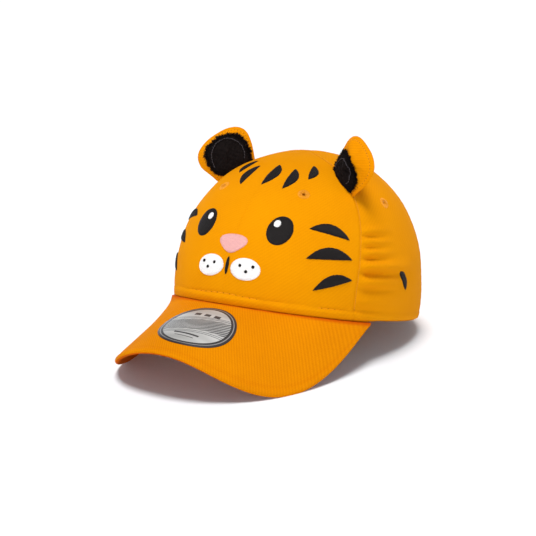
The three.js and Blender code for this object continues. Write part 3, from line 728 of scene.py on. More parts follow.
# Painted shade for the needle holes
HOLE_SHADE_PAINT = plain_thread("hole_shade_paint", "8a4400", "602c00")
GREY_THREAD = plain_thread("grey_sewing_thread", "504a4d", "2a2628")
SATIN = {
    "orange_thread": thread("orange_satin_stitch", "ea9a10", "cf7e00"),
    "black_thread": thread("black_satin_stitch", "221d1c", "0b0909", 0.02, 0.1),
    "white_thread": thread("white_satin_stitch", "fbf9f6", "cfcac6"),
    "pink_thread": thread("pink_satin_stitch", "edb3ae", "c98a86"),
}
PLUSH = fleece("black_plush")
FOIL = foil_print()


def finish_piece(obj, material, slot, *nodes):
    obj.data.materials.append(material)
    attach(obj, "root")
    if nodes:
        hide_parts(*nodes)
    return obj


def sew(name, rows, pitch, length, width, height, sink=0.1):
    finish_piece(stitches(name, rows, pitch, length, width, height, sink), ORANGE_THREAD, "orange_thread")


def hole_shade_dots(name, rows, pitch, length, width, height):
    """Dark dots of painted shade between the stitches, where the thread goes in."""
    finish_piece(stitches(name, rows, pitch, length, width, height, 0.0, 0.0), HOLE_SHADE_PAINT, "orange_thread")


# Crown panels

GORES = [
    ("front_left", SEAMS["front"], side_seam),
    ("side_left", side_seam, SEAMS["rear_left"]),
    ("back_left", SEAMS["rear_left"], lambda r: math.pi + 0 * r),
    ("front_right", lambda r: -side_seam(r), SEAMS["front"]),
    ("side_right", SEAMS["rear_right"], lambda r: -side_seam(r)),
    ("back_right", lambda r: -math.pi + 0 * r, SEAMS["rear_right"]),
]
ROWS, COLUMNS = 104, 80
PANEL_TOP = 89.72 * DEG
PANEL_WALL = 1.5


def arch_rise(b):
    """The rise of the arch's edge at a bearing, or 0 outside the arch."""
    ladder = np.linspace(0, 60 * DEG, 1200)
    out = np.zeros(len(b))
    for i, bearing in enumerate(b):
        p = crown_point(bearing, ladder)
        open_here = (p[:, 1] > 0) & (p[:, 2] < arch_height_at(p[:, 0]))
        if open_here.any():
            out[i] = ladder[np.nonzero(open_here)[0].max()]
    return out


def panel(name, start, end):
    """One panel from seam to seam, with its columns drawn together at both."""
    t = np.linspace(0, 1, COLUMNS + 1)
    s = t - 0.75 * np.sin(2 * math.pi * t) / (2 * math.pi)
    v = np.linspace(0, 1, ROWS + 1)
    v = 0.55 * v + 0.45 * v**2
    rise = np.repeat((v * PANEL_TOP)[:, None], COLUMNS + 1, 1)
    if name.startswith("back"):
        at_edge = start(0.0) + (end(0.0) - start(0.0)) * s
        low = arch_rise(at_edge)
        rise = low[None, :] + (PANEL_TOP - low[None, :]) * v[:, None]
    b0, b1 = start(rise), end(rise)
    b = b0 + (b1 - b0) * s[None, :]
    outer, out = crown_surface(b, rise)
    total, painted_shade = relief(b, rise)
    inner = crown_point(b, rise) + out * (0.45 * total - PANEL_WALL)[..., None]
    inner[0] = outer[0] - out[0] * 1.1
    across = np.linalg.norm(np.diff(outer, axis=1), axis=2)
    u = np.concatenate([np.zeros((ROWS + 1, 1)), np.cumsum(across, 1)], 1)
    u = u - u[:, -1:] / 2
    w = lengths(outer[:, COLUMNS // 2])
    uv = np.stack([u, np.repeat(w[:, None], COLUMNS + 1, 1)], -1)
    obj = shell(f"crown_{name}", outer, inner, uv, painted_shade)
    return finish_piece(obj, TWILL, "twill", f"panel_{name}")


PANELS = {name: panel(name, start, end) for name, start, end in GORES}

# Seam tapes and stitches of the crown


def seam_line(name, offset, low_height, top_gap, count=260):
    """Points along a seam at an offset to its side, from a height up to a gap from the apex."""
    seam = SEAMS[name]
    start = rise_at(np.array(float(seam(np.array(0.0)))), np.array(float(low_height)))
    r = np.linspace(float(start), 89.3 * DEG, count)
    metric = crown_frame(seam(r), r)[3]
    keep = metric * 30 * DEG > top_gap
    r, metric = r[keep], metric[keep]
    return seam(r) + offset / metric, r


rows = []
for seam in SEAMS:
    if seam == "front":
        continue
    low = ARCH_HEIGHT + 4.5 if seam == "back" else HEM_STITCH + 1.2
    away = -STITCH_OFFSET if seam.endswith("right") else STITCH_OFFSET
    rows.append(crown_surface(*seam_line(seam, away, low, 4)))
sew("seam_stitching", rows, 1.35, 0.95, 0.6, 0.24, 0.05)
hole_shade_dots("seam_needle_holes", rows, 1.35, 0.5, 0.5, 0.07)
hem_bearing = np.linspace(-150, 150, 900) * DEG
rows = [crown_surface(hem_bearing, rise_at(hem_bearing, hem_stitch(hem_bearing)))]
sew("hem_stitching", rows, 4.4, 3.7, 0.4, 0.16, 0.03)
hole_shade_dots("hem_needle_holes", rows, 4.4, 0.8, 0.6, 0.14)

rows = []
for seam in SEAMS:
    b, r = seam_line(seam, 0, ARCH_HEIGHT + 3 if seam == "back" else 14, 3.0, 120)
    p = crown_point(b, r)
    across, up, out, _ = crown_frame(b, r)
    obj = tube(f"seam_tape_{seam}", p - out * TAPE_DEPTH, across, out, oval_profile(5.2, 0.42, 14, 4))
    finish_piece(obj, TAPE_CLOTH, "band")
    rows += [(p - out * (TAPE_DEPTH + 0.35) + across * side * 4.0, -out) for side in (-1, 1)]
sew("seam_tape_stitching", rows, 3.0, 2.1, 0.45, 0.3)

# Rear arch binding, strap and sweatband


def arch_path(count=150):
    """The arch's edge on the crown: bearings and rises from one foot over the top to the other."""
    turn = np.linspace(0, math.pi, count)
    foot = np.linspace(2.5, ARCH_SPRING, 12, endpoint=False)
    side = np.full(len(foot), ARCH_HALF_WIDTH)
    x = np.concatenate([side, ARCH_HALF_WIDTH * np.cos(turn), -side])
    z = np.concatenate([foot, ARCH_SPRING + ARCH_ROUND * np.sin(turn), foot[::-1]])
    b = math.pi - np.arcsin(np.clip(x / EDGE_HALF_WIDTH, -1, 1))
    r = np.full(len(x), 20 * DEG)
    for _ in range(25):
        p = crown_point(b, r)
        db = (crown_point(b + 1e-4, r) - p) / 1e-4
        dr = (crown_point(b, r + 1e-4) - p) / 1e-4
        ex, ez = x - p[:, 0], z - p[:, 2]
        det = db[:, 0] * dr[:, 2] - db[:, 2] * dr[:, 0]
        b = b + np.clip((ex * dr[:, 2] - ez * dr[:, 0]) / det, -0.1, 0.1)
        r = np.clip(r + np.clip((ez * db[:, 0] - ex * db[:, 2]) / det, -0.1, 0.1), 0.2 * DEG, 80 * DEG)
    return b, r


b, r = arch_path()
p = crown_point(b, r)
out = crown_frame(b, r)[2]
into = unit(np.cross(unit(np.gradient(p, axis=0)), out))
into *= np.sign((into * (p - np.array([0, p[:, 1].mean(), 12]))).sum(1).mean())
path = p - out * WALL / 2 + into * 1.9
profile = oval_profile(3.0, BINDING_HALF_THICKNESS, 16, 3.2)
finish_piece(tube("arch_binding", path, into, out, profile), BAND_CLOTH, "band")
rows = [(path + into * 1.4 + way * out * BINDING_HALF_THICKNESS, way * out) for way in (1, -1)]
sew("arch_binding_stitching", rows, 2.6, 1.9, 0.42, 0.3)


def band(name, start, end, columns, thickness, height, drop, material, slot, node):
    """A band inside the crown, with softly rounded edges and a slight waviness."""
    b = np.linspace(start, end, columns + 1)[None, :]
    share = np.linspace(0, 1, 17)[:, None]
    r = rise_at(b + 0 * share, height * share)
    out = crown_frame(b + 0 * share, r)[2]
    edge = np.sqrt(np.clip(1 - np.abs(2 * share - 1) ** 10, 0, 1))
    wave = 0.12 * ripple(b * 9, share * 0.6, 23)
    p = crown_point(b + 0 * share, r)
    p[..., 2] = np.maximum(0, p[..., 2] - drop * (1 - share))
    middle = BAND_DEPTH + thickness / 2
    half = thickness / 2 * (0.35 + 0.65 * edge)
    outer = p - out * (middle + wave - half)[..., None]
    inner = p - out * (middle + wave + half)[..., None]
    for side in (outer, inner):
        side[..., 2] = np.maximum(side[..., 2], 0)
    uv = np.stack(np.broadcast_arrays(lengths(outer[0])[None, :], height * share), -1)
    finish_piece(shell(name, outer, inner, uv, 0 * uv[..., 0]), material, slot, node)
    return outer, inner, out


_, inner, out = band("sweatband_cloth", -BAND_END, BAND_END, 240, 1.5, 26, 0, BAND_CLOTH, "band", "sweatband")
# The rows of a band's grid that its stitches follow
low, high = 2, 14
sew("sweatband_stitching", [(inner[low], -out[low]), (inner[high], -out[high])], 3.0, 2.1, 0.45, 0.3)
start, end = BAND_END + 0.004, 2 * math.pi - BAND_END - 0.004
outer, inner, out = band("rear_strap", start, end, 120, 1.6, 19, 0.9, TWILL, "strap", "back_strap")
rows = [(outer[k], out[k]) for k in (low, high)]
rows += [(inner[k], -out[k]) for k in (low, high)]
rows += [(outer[low:high + 1, k], out[low:high + 1, k]) for k in (8, 112)]
sew("rear_strap_stitching", rows, 2.5, 1.8, 0.42, 0.3)

# Brim


def brim():
    """Two sheets from behind the crown's edge to the brim's rounded front edge."""
    columns, inside, nose_rows = 164, 50, 7
    a = 0.9835 * np.sin(np.linspace(-0.5, 0.5, columns + 1) * math.pi)
    extent = brim_extent(a)
    radius = BRIM_THICKNESS / 2
    nose = np.minimum(radius * 1.15, extent / 2)
    flat = np.linspace(0, 1, inside)[:, None] ** 0.9
    turn = np.linspace(0, math.pi / 2, nose_rows)[1:, None]
    behind = np.full((1, columns + 1), -3.0)
    distance = np.concatenate([behind, flat * (extent - nose), extent - nose + nose * np.sin(turn)])
    lift = np.full_like(distance, radius)
    lift[inside + 1:] = radius * np.cos(turn)
    edge_gap = extent - distance
    sewn = bell(edge_gap - BRIM_STITCH, 0.8)
    dip = -0.12 * sewn * (extent > 12)
    soft = 0.10 * ripple(a * 2.2, distance / 40, 31) * smooth(2, 10, distance) * smooth(1, 8, edge_gap)
    keep = lift >= radius * 0.999
    across = a + 0 * distance
    upper, _ = brim_surface(across, distance / extent, lift + (dip + soft) * keep)
    lower, _ = brim_surface(across, distance / extent, -lift - (0.5 * dip - soft) * keep)
    uv = np.stack([brim_plan(a, distance)[0] * 1.12, distance], -1)
    # Painted shade along the stitch row and at the joint with the crown, and shade=0.9 paints the whole
    # underside darker
    painted_shade = 0.14 * sewn + 0.9 * (1 - smooth(0.0, 2.2, distance))
    obj = shell("brim_cloth", upper, lower, uv, painted_shade, 60, shade=0.9)
    finish_piece(obj, BRIM_TWILL, "brim_twill", "brim")


brim()

# Patches laid flat on a curved surface


def laid(surface, u0, v0, step):
    """Gives points of a surface by their millimetres in the tangent plane at an anchor."""
    u0, v0 = np.array(float(u0)), np.array(float(v0))
    origin = surface(u0, v0)
    across, up, _, _ = frame_of(surface, u0, v0, step)

    def find(x, y):
        u, v = u0 + 0 * x, v0 + 0 * x
        for _ in range(7):
            here = surface(u, v) - origin
            du = (surface(u + step, v) - origin - here) / step
            dv = (surface(u, v + step) - origin - here) / step
            miss = x - here @ across, y - here @ up
            ua, ub, va, vb = du @ across, du @ up, dv @ across, dv @ up
            area = ua * vb - ub * va
            u = u + (miss[0] * vb - miss[1] * va) / area
            v = v + (miss[1] * ua - miss[0] * ub) / area
        return u, v

    return find


def on_crown(bearing, rise):
    return laid(crown_point, bearing * DEG, rise * DEG, 0.1 * DEG)


def satin(part, suffix, slot, find, x, y, half_length, half_width, seed, tilt=0.0, bend=0.0, sharpness=0.5,
          taper=0.0, lift=0.0, height=0.75, across=12, angle=0.0):
    """An embroidered leaf or oval, ridged by its threads, with slightly ragged sides."""
    count = max(14, int(2 * half_length / THREAD_PITCH * 4))
    turn = np.linspace(-0.5, 0.5, count + 1) * math.pi
    along = (0.5 * np.sin(turn) + 0.5 * np.linspace(-1, 1, count + 1))[:, None]
    width = half_width * np.clip(1 - along**2, 0, 1) ** sharpness * (1 + taper * along)
    reach = along * half_length
    rng = np.random.default_rng(seed)
    jags = [np.repeat(rng.uniform(-1, 1, count // 4 + 2), 4)[: count + 1, None] for _ in range(2)]
    side = np.linspace(-1, 1, across + 1)[None, :]
    ragged = np.where(side < 0, *jags) * 0.12 * side**6
    over = side * width + ragged * np.sign(side) * (width > 0.3) + bend * (1 - along**2)
    px = x + over * math.cos(tilt) - reach * math.sin(tilt)
    py = y + over * math.sin(tilt) + reach * math.cos(tilt)
    u, v = find(px, py)
    slant = reach + over * math.tan(angle)
    threads = 0.075 * np.abs(np.sin(math.pi * slant / THREAD_PITCH))
    dome = np.clip(1 - side**4, 0, 1) ** 0.6 * np.clip(1 - along**8, 0, 1)
    top = lift + 0.12 + (height - 0.12) * dome + threads * np.minimum(1, dome * 2)
    outer, _ = crown_surface(u, v, top)
    inner, _ = crown_surface(u, v, 0 * top + lift - 0.15)
    uv = np.stack([slant, over], -1)
    if suffix.endswith("right"):
        outer, inner, uv = outer[:, ::-1] * (-1, 1, 1), inner[:, ::-1] * (-1, 1, 1), uv[:, ::-1]
    obj = shell(f"{part}_thread{suffix}", outer, inner, uv, None, 65)
    finish_piece(obj, SATIN[slot], slot, f"{part}{suffix}")


def stripe(part, suffix, seed, bearing, rise, tilt, half_length, half_width):
    satin(part, suffix, "black_thread", on_crown(bearing, rise), 0, 0, half_length, half_width, seed,
          tilt=tilt * DEG, bend=0.22 * half_length, sharpness=0.95, angle=0.35)


FACE = on_crown(0, 20)
# Stripes: bearing and rise of the middle, tilt, half length and half width
STRIPES = {
    "brow_stripe_inner": (21, 60, -8, 11, 3.4),
    "brow_stripe_outer": (42, 65, -16, 8.5, 2.8),
    "cheek_stripe_upper": (51, 31, 76, 13, 3.4),
    "cheek_stripe_middle": (50, 20.5, 88, 15, 3.7),
    "cheek_stripe_lower": (51, 10.5, 100, 13, 3.4),
    "side_stripe": (91, 13, 35, 8, 2.8),
}
for suffix in ("_left", "_right"):
    satin("eye", suffix, "black_thread", FACE, 26, 18, 9.5, 7.4, 3, height=0.8, across=28, angle=0.3)
    satin("eye_glint", suffix, "white_thread", FACE, 23.6, 21.6, 2.3, 2.0, 4, lift=0.75, height=0.5)
    satin("muzzle", suffix, "white_thread", FACE, 12.2, -9.2, 6.6, 9.6, 5, height=0.8, across=32, angle=-0.25)
    for i, (x, y) in enumerate([(9, -7.6), (13.4, -10.6), (17.2, -7.2)]):
        satin("whisker", f"_{i + 1}{suffix}", "black_thread", FACE, x, y, 1.0, 1.0, 6 + i,
              lift=0.7, height=0.5, across=8)
    for k, (name, row) in enumerate(STRIPES.items()):
        stripe(name, suffix, 20 + k, *row)
satin("nose", "", "pink_thread", FACE, 0, 5.2, 6.0, 9.0, 9, taper=0.42, height=0.85, across=30, angle=0.2)
satin("mouth", "", "black_thread", FACE, 0, -8.4, 5.4, 1.1, 10)
stripe("brow_stripe_middle", "", 12, 0, 62, 0, 12, 3.8)

# Eyelets

EYELETS = {"front": (36, 50.2), "side": (90.7, 44.8), "back": (148, 52)}


def eyelet(name, bearing, rise):
    """The sewn ring round a ventilation hole."""
    turns, rings = 176, 12
    theta = circle(turns)[None, :]
    share = np.linspace(1, 0, rings + 1)[:, None]
    spokes = np.abs(np.sin(theta * EYELET_SPOKES / 2))
    radius = EYELET_HOLE + (EYELET_RADIUS - EYELET_HOLE) * share + 0.12 * spokes * smooth(0.7, 1, share)
    top = -0.1 + 0.7 * np.sin(math.pi * share) ** 0.55 + 0.1 * spokes * np.sin(math.pi * share)
    u, v = on_crown(bearing, rise)(radius * np.cos(theta), radius * np.sin(theta))
    outer, _ = crown_surface(u, v, top)
    inner, _ = crown_surface(u, v, 0 * top - 0.7)
    uv = np.stack(np.broadcast_arrays(theta * EYELET_SPOKES / (2 * math.pi) * THREAD_PITCH, radius), -1)
    obj = shell(f"eyelet_thread_{name}", outer, inner, uv, None, 70, around=True)
    finish_piece(obj, SATIN["orange_thread"], "orange_thread", f"eyelet_{name}")


def eyelet_hole(target, bearing, rise):
    """Opens the ventilation hole through a panel."""
    p = crown_point(bearing * DEG, rise * DEG)
    bpy.ops.mesh.primitive_cylinder_add(vertices=24, radius=EYELET_CUT * 0.001, depth=0.012)
    cutter = bpy.context.object
    aim(cutter, Vector(crown_frame(np.array(bearing * DEG), np.array(rise * DEG))[2]))
    cutter.location = Vector(metres(p))
    modifier = target.modifiers.new("hole", "BOOLEAN")
    modifier.operation = "DIFFERENCE"
    modifier.solver = "EXACT"
    modifier.object = cutter
    apply_modifiers(target)
    bpy.data.objects.remove(cutter)


for place, (bearing, rise) in EYELETS.items():
    for suffix, sign in (("left", 1), ("right", -1)):
        eyelet(f"{place}_{suffix}", sign * bearing, rise)
        eyelet_hole(PANELS[f"{place}_{suffix}"], sign * bearing, rise)

# Sticker


def sticker():
    """A film on the brim, its edge turned down a little."""
    find = laid(lambda a, share: brim_at(a, share * brim_extent(a)), 0.023, 0.486, 0.002)
    turns, rings = 120, 26
    theta = circle(turns)[None, :]
    share = np.concatenate([np.linspace(0, 0.985, rings)[1:], [1.0]])[:, None]
    x = np.append((STICKER_RADIUS * share * np.cos(theta)).ravel(), 0)
    y = np.append((STICKER_RADIUS * share * np.sin(theta)).ravel(), 0)
    surface = BRIM_THICKNESS / 2
    top = surface + STICKER_LIFT - 0.06 * (np.hypot(x, y) > STICKER_RADIUS - 0.1)
    u, v = find(x, y)
    upper, _ = brim_surface(u, v, top)
    lower, _ = brim_surface(u, v, 0 * top + surface + 0.05)
    uvs = np.concatenate([np.stack([x, -y], -1)] * 2)
    finish_piece(disc("round_sticker", upper, lower, turns, uvs, 40), FOIL, "foil", "brim_sticker")


sticker()

# Ears


def ear_axes():
    high = crown_point(np.array(side_seam(EAR_HIGH) - EAR_LEAD), np.array(EAR_HIGH))
    low = crown_point(np.array(side_seam(EAR_LOW) - EAR_LEAD), np.array(EAR_LOW))
    along = unit(low - high)
    plumb = unit(np.array([0, 0, 1.0]) - along * along[2])
    facing = np.cross(plumb, along)
    if facing[1] > 0:
        facing = -facing
    up = plumb * math.cos(EAR_LEAN) + facing * math.sin(EAR_LEAN)
    front = facing * math.cos(EAR_LEAN) - plumb * math.sin(EAR_LEAN)
    return along, up, front, (high + low) / 2, float(np.linalg.norm(high - low) / 2)


EAR_ALONG, EAR_UP, EAR_FRONT, EAR_BASE, EAR_BASE_HALF = ear_axes()


def ear_width(h):
    over = np.clip((h - EAR_WIDEST) / EAR_TOP, 0, 1)
    under = np.clip(1 - h / EAR_WIDEST, 0, 1)
    low = EAR_BASE_HALF + (EAR_HALF_WIDTH - EAR_BASE_HALF) * (1 - under**EAR_SHOULDER)
    high = EAR_HALF_WIDTH * np.clip(1 - over**EAR_ROUNDNESS, 0, 1) ** (1 / EAR_ROUNDNESS)
    return np.where(h >= EAR_WIDEST, high, low)


def ear_point(x, h, offset):
    hs, ws = h / EAR_HEIGHT, x / EAR_HALF_WIDTH
    sweep = -EAR_SIDE_SWEEP * ws**2 - EAR_TOP_SWEEP * hs**2 + EAR_CORNER_LIFT * hs * ws**2
    swayed = x + EAR_SWAY * np.maximum(0, hs) ** 1.3
    offsets = (swayed, EAR_ALONG), (h, EAR_UP), (sweep + offset, EAR_FRONT)
    return EAR_BASE + sum(amount[..., None] * axis for amount, axis in offsets)


def ear_spot(x, h, flip):
    """Points of the middle surface of the left ear, or with flip -1 of the right."""
    return ear_point(x, h, 0 * x) * (flip, 1, 1)


def ear_outline(count):
    """The ear's outline as a closed ring, moved out a little past the solid's."""
    top = EAR_WIDEST + EAR_TOP * np.sin(np.linspace(0, 0.5, 60)[1:] * math.pi)
    h = np.concatenate([np.linspace(-3.2, EAR_WIDEST, 60), top])
    w = ear_width(np.maximum(h, 0))
    right = np.stack([w, h], -1)
    left = np.stack([-w, h], -1)[::-1]
    base = np.stack([np.linspace(-w[0], w[0], 14)[1:-1], np.full(12, -3.2)], -1)
    ring = np.concatenate([right, left[1:], base])
    closed = np.concatenate([ring, ring[:1]])
    along = lengths(closed)
    at = np.linspace(0, along[-1], count, endpoint=False)
    ring = np.stack([np.interp(at, along, closed[:, k]) for k in (0, 1)], -1)
    heading = unit(np.roll(ring, -1, axis=0) - np.roll(ring, 1, axis=0))
    return ring + EAR_OUTSET * np.stack([heading[:, 1], -heading[:, 0]], -1)


def ear_mesh(name, mirror):
    """Two sheets joined all round, ready to be filled: the front sheet, the back sheet and the rim."""
    count, rings = 112, 28
    ring = ear_outline(count)
    fuller = 2.4 if mirror else -0.4
    ring[:, 0] += fuller * smooth(0, EAR_HALF_WIDTH, ring[:, 0]) * smooth(3, 15, ring[:, 1])
    share = 1 - (1 - np.linspace(0.03, 1, rings)) ** 1.1
    sewn = int(np.argmin(np.abs(share - EAR_SEWN)))
    vertices, faces, uvs, pinned = [], [], [], []

    def half(s):
        """Half the thickness: full in the middle, drawn in at the stitches, and a soft rim beyond them."""
        middle = (EAR_PADDING / 2 - 1.1) * np.clip(1 - (s / 0.95) ** 3, 0, 1)
        return 0.95 + middle - 0.4 * bell(s - EAR_SEWN, 0.035) - 0.2 * smooth(0.95, 1, s)

    def curled(at):
        """How far the low front corner turns forwards."""
        return 1.5 * smooth(0.6, 1.05, at[:, 0] / EAR_HALF_WIDTH) * smooth(11, 3, at[:, 1])

    def add_sheet(sign):
        centre = EAR_CENTRE[None]
        start, first = len(vertices), len(vertices) + 1
        vertices.extend(ear_point(centre[:, 0], centre[:, 1], sign * np.array([half(0.0)])))
        uvs.extend(centre)
        for s in share[:-1]:
            at = EAR_CENTRE + (ring - EAR_CENTRE) * s
            vertices.extend(ear_point(at[:, 0], at[:, 1], curled(at) + sign * half(s)))
            uvs.extend(at)
        for j in range(count):
            k = (j + 1) % count
            faces.append((start, first + j, first + k)[::sign])
            for a in range(first, first + (rings - 2) * count, count):
                c = a + count
                faces.append((a + j, c + j, c + k, a + k)[::sign])
        pinned.extend(range(first + sewn * count, first + (sewn + 1) * count))
        return first + (rings - 2) * count

    front, back = add_sheet(1), add_sheet(-1)
    rim = len(vertices)
    vertices.extend(ear_point(ring[:, 0], ring[:, 1], curled(ring)))
    uvs.extend(ring)
    for j in range(count):
        k = (j + 1) % count
        faces.append((front + j, rim + j, rim + k, front + k))
        faces.append((back + k, rim + k, rim + j, back + j))
    vertices = np.array(vertices)
    if mirror:
        vertices = vertices * (-1, 1, 1)
        faces = [f[::-1] for f in faces]
    obj = make_mesh(name, vertices, faces, np.array(uvs), np.zeros(len(vertices)), 0)
    return obj, pinned + list(range(rim, rim + count))


def fill_with_air(obj, pinned):
    """Puffs the ear like wadding does: cloth under pressure, its seam held, then kept within a cap."""
    obj.vertex_groups.new(name="seam").add(pinned, 1.0, "REPLACE")
    rest = np.array([v.co for v in obj.data.vertices])
    modifier = obj.modifiers.new("cloth", "CLOTH")
    stiffness = {"tension_stiffness": 12, "compression_stiffness": 12, "bending_stiffness": 0.4}
    filling = {"use_pressure": True, "uniform_pressure_force": 2.2, "shrink_min": -0.035}
    fixed = {"quality": 6, "mass": 0.15, "vertex_group_mass": "seam"}
    for key, value in (stiffness | filling | fixed).items():
        setattr(modifier.settings, key, value)
    modifier.settings.effector_weights.gravity = 0
    modifier.collision_settings.use_collision = False
    scene = bpy.context.scene
    for step in range(1, 21):
        scene.frame_set(step)
    graph = bpy.context.evaluated_depsgraph_get()
    shift = np.array([v.co for v in obj.evaluated_get(graph).data.vertices]) - rest
    obj.modifiers.remove(modifier)
    scene.frame_set(1)
    edges = np.array([e.vertices[:] for e in obj.data.edges])
    ends = np.concatenate([edges, edges[:, ::-1]])
    shared = np.bincount(ends[:, 0], minlength=len(rest))[:, None]
    for _ in range(10):
        around = np.zeros_like(shift)
        np.add.at(around, ends[:, 0], shift[ends[:, 1]])
        shift = 0.4 * shift + 0.6 * around / shared
    size = np.linalg.norm(shift, axis=1, keepdims=True)
    shift *= np.minimum(1, WADDING_CAP / np.maximum(size, 1e-9))
    obj.data.vertices.foreach_set("co", (rest + shift).astype(np.float32).ravel())
    obj.vertex_groups.clear()
    obj.data.update()


def onto(tree, p, direction, lift):
    """Points carried along a direction onto a mesh, and lifted off it, with the mesh's own directions."""
    placed, out = [], []
    d = Vector(direction)
    for q in p:
        start = Vector(metres(q))
        hit, normal, _, _ = tree.ray_cast(start + d * 0.02, -d)
        if hit is None:
            hit, normal, _, _ = tree.find_nearest(start)
        if normal.dot(d) < 0:
            normal = -normal
        placed.append(np.array(hit) * 1000 - (0, SHIFT, 0) + np.array(normal) * lift)
        out.append(np.array(normal))
    return np.array(placed), np.array(out)


def plush(name, tree, flip, outline, seed):
    """The plush front: a felted patch with locks of pile, in tufts round its edge."""
    turns, rings = 220, 18
    outline = np.array(outline, float)
    middle = (outline.max(0) + outline.min(0)) / 2
    angle = np.arctan2(outline[:, 1] - middle[1], outline[:, 0] - middle[0])
    reach = np.linalg.norm(outline - middle, axis=1)
    theta = circle(turns) - math.pi
    wave = np.interp(theta, angle, reach, period=2 * math.pi)
    for _ in range(6):
        wave = (np.roll(wave, 1) + 2 * wave + np.roll(wave, -1)) / 4
    rng = np.random.default_rng(seed)
    # Tufts are about 2 mm wide, and each stands out by its own length
    tall = rng.uniform(0.2, 1, TUFTS)
    nudge = rng.uniform(-0.3, 0.3, TUFTS)[np.arange(turns) * TUFTS // turns]
    place = (theta / (2 * math.pi) * TUFTS + nudge) % TUFTS
    tuft = tall[place.astype(int)] * np.abs(np.sin(math.pi * place)) ** 0.6
    wave = wave - TUFT_DEPTH * (1 - tuft)
    px, py = wave * np.cos(theta), wave * np.sin(theta)
    # Locks: short hairs lie flat in the middle, and longer ones lean outwards near the edge
    direction = EAR_FRONT * np.array([flip, 1, 1])
    t = rng.uniform(0, turns - 1.001, LOCKS)
    edge = rng.uniform(0, 1, LOCKS) < 0.5
    s = np.where(edge, 1 - 0.14 * rng.uniform(0, 1, LOCKS) ** 1.5, np.sqrt(rng.uniform(0, 1, LOCKS)) * 0.95)
    ex, ey, stands = (np.interp(t, np.arange(turns), values) for values in (px, py, tuft))
    roots, tip = (ear_spot(middle[0] + ex * k, middle[1] + ey * k, flip) for k in (s, s + 0.12))
    placed, out = onto(tree, roots, direction, 0.25)
    outward = unit(tip - roots)
    inner = s < 0.84
    length = np.where(inner, rng.uniform(0.9, 1.5, LOCKS), rng.uniform(0.8, 1.4, LOCKS) + 0.9 * stands)
    lean = np.where(inner, rng.uniform(-0.2, 1.1, LOCKS), rng.uniform(0.4, 1.5, LOCKS))
    side = unit(np.cross(out, outward))
    sway = rng.uniform(-0.7, 0.7, LOCKS)
    heading = unit(out + outward * lean[:, None] + side * sway[:, None])
    # Each lock has three rings of three points, thinner towards its curled tip
    width, off, aside = rng.uniform((0.16, -0.6, -0.8), (0.3, 0.8, 0.8), (LOCKS, 3)).T[..., None]
    curl = unit(out * off + side * aside + outward * 0.4) * length[:, None]
    grown = heading * length[:, None]
    other = unit(np.cross(heading, side))
    lock_points = []
    for part, (reach, fat) in enumerate(((0.0, 1.0), (0.45, 0.85), (0.8, 0.55))):
        spot = placed + grown * reach + curl * 0.35 * reach**2
        for phi in circle(3) + part:
            lock_points.append(spot + (side * math.cos(phi) + other * math.sin(phi)) * width * fat)
    lock_points.append(placed + grown + curl * 0.4)
    faces = [(a, b, b + 3, a + 3) for a, b in ((0, 1), (1, 2), (2, 0), (3, 4), (4, 5), (5, 3))]
    faces += [(6, 7, 9), (7, 8, 9), (8, 6, 9), (2, 1, 0)]
    pile = make_mesh(f"{name}_pile", np.stack(lock_points, 1), repeated(faces, 10, LOCKS), None, None, 0)
    finish_piece(pile, PLUSH, "plush")
    # Felted ground under the locks
    share = np.linspace(0.02, 1, rings)[:, None]
    gx, gy = middle[0] + px * share, middle[1] + py * share
    placed, out = onto(tree, ear_spot(gx, gy, flip).reshape(-1, 3), direction, 0.0)
    bumps = 1 + 0.25 * ripple(gx / 3.0, gy / 3.0, seed + 5)
    thick = (0.25 + 0.95 * bumps * np.clip(1 - share**6, 0, 1)).reshape(-1, 1)
    front = np.concatenate([placed + out * thick, [(placed[:turns] + out[:turns] * 1.2).mean(0)]])
    back = np.concatenate([placed - out * 0.1, [placed[:turns].mean(0)]])
    return finish_piece(disc(f"{name}_ground", front, back, turns, None, 60), PLUSH, "plush", name)


def ear(suffix, flip, outline, arc, seed):
    """One whole ear, with its stitches, its plush and the grey arc on that."""
    obj, pinned = ear_mesh(f"padded_ear_{suffix}", flip < 0)
    fill_with_air(obj, pinned)
    obj.modifiers.new("round", "SUBSURF").levels = 1
    apply_modifiers(obj)
    finish_piece(obj, EAR_TWILL, "ear_twill", f"ear_{suffix}")
    tree = surface_tree(obj)
    direction = EAR_FRONT * (flip, 1, 1)
    line = EAR_CENTRE + (ear_outline(500) - EAR_CENTRE) * EAR_SEWN
    hidden = line[:, 1] <= 0.4
    line = np.roll(line, -int(np.argmax(hidden)), axis=0)
    line = line[line[:, 1] > 0.4]
    base = ear_spot(line[:, 0], line[:, 1], flip)
    rows = [onto(tree, base, direction * way, 0.02) for way in (1, -1)]
    sew(f"ear_stitching_{suffix}", rows, 2.1, 1.6, 0.36, 0.2)
    hole_shade_dots(f"ear_needle_holes_{suffix}", rows, 2.1, 0.6, 0.45, 0.1)
    tree = surface_tree(plush(f"ear_fur_{suffix}", tree, flip, outline, seed))
    height, half_width, half_height, start, end = arc
    turn = np.linspace(start, end, 120) * math.pi
    path = ear_spot(half_width * np.cos(turn), height + half_height * np.sin(turn), flip)
    row = onto(tree, path, direction, 0.55 if flip > 0 else 0.85)
    finish_piece(stitches(f"ear_arc_{suffix}", [row], 1.75, 1.6, 0.42, 0.4, 0.0), GREY_THREAD, "black_thread")


def surface_tree(obj):
    mesh = obj.data
    return BVHTree.FromPolygons([v.co for v in mesh.vertices], [p.vertices[:] for p in mesh.polygons])


ear("left", 1, FUR_LEFT, ARC_LEFT, 41)
ear("right", -1, FUR_RIGHT, ARC_RIGHT, 43)

# Floor, light and camera

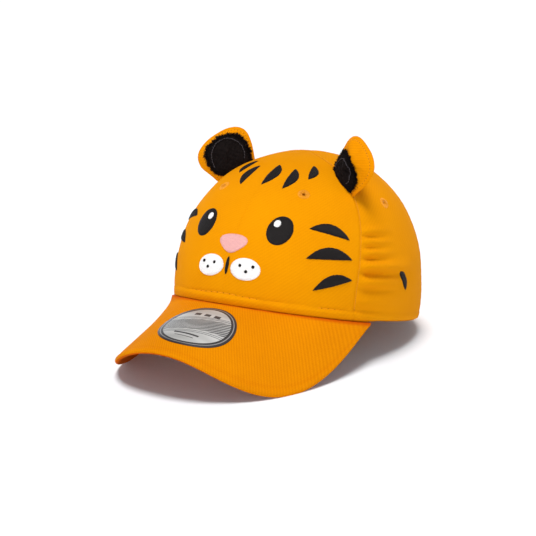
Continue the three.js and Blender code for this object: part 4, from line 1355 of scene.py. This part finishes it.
FLOOR = 30000.0
corners = [[-FLOOR, -FLOOR, 0], [FLOOR, -FLOOR, 0], [FLOOR, FLOOR, 0], [-FLOOR, FLOOR, 0]]
floor = make_mesh("floor", corners, [(0, 1, 2, 3)], None, None, 0)
m = Nodes("pale_floor", 0.9, Specular_IOR_Level=0.1)
grain = m.noise(m.place(1), 3.0, 2.0)
m.colour(m.ramp(grain, [(0.0, (0.81, 0.83, 0.85, 1)), (1.0, (0.83, 0.85, 0.87, 1))]))
floor.data.materials.append(m.material)

world = bpy.data.worlds.new("studio")
bpy.context.scene.world = world
world.use_nodes = True
# The studio is bright round the horizon and dim above
tree = world.node_tree
tree.nodes["Background"].inputs["Color"].default_value = (0.95, 0.99, 1.06, 1)
direction = tree.nodes.new("ShaderNodeTexCoord").outputs["Generated"]
upward = tree.nodes.new("ShaderNodeSeparateXYZ")
brightness = tree.nodes.new("ShaderNodeMapRange")
for socket, value in (("From Min", 0.16), ("From Max", 0.34), ("To Min", 2.3), ("To Max", 0.2)):
    brightness.inputs[socket].default_value = value
tree.links.new(direction, upward.inputs[0])
tree.links.new(upward.outputs["Z"], brightness.inputs["Value"])
tree.links.new(brightness.outputs["Result"], tree.nodes["Background"].inputs["Strength"])


def towards(azimuth, elevation):
    """The direction from the cap to an azimuth and elevation in degrees."""
    a, e = azimuth * DEG, elevation * DEG
    return Vector((math.sin(a) * math.cos(e), -math.cos(a) * math.cos(e), math.sin(e)))


def sun(name, azimuth, elevation, strength, angle):
    data = bpy.data.lights.new(name, "SUN")
    data.energy, data.angle = strength, angle * DEG
    obj = put(name, data)
    aim(obj, towards(azimuth, elevation))
    obj.location = towards(azimuth, elevation) * 2


sun("top_light", 15, 81, 3.0, 24)
sun("front_light", 20, 5, 0.8, 16)

camera = bpy.data.cameras.new("camera")
camera.sensor_width = 36
camera.lens = 86.69
camera.clip_start, camera.clip_end = 0.01, 100
eye = put("camera", camera)
back = towards(31.766, 13.289)
eye.location = Vector((-0.0240, SHIFT * 0.001, 0.04227)) + back * 0.85703
aim(eye, -back, "-Z")
bpy.context.scene.camera = eye
bpy.context.scene.view_settings.view_transform = "Standard"
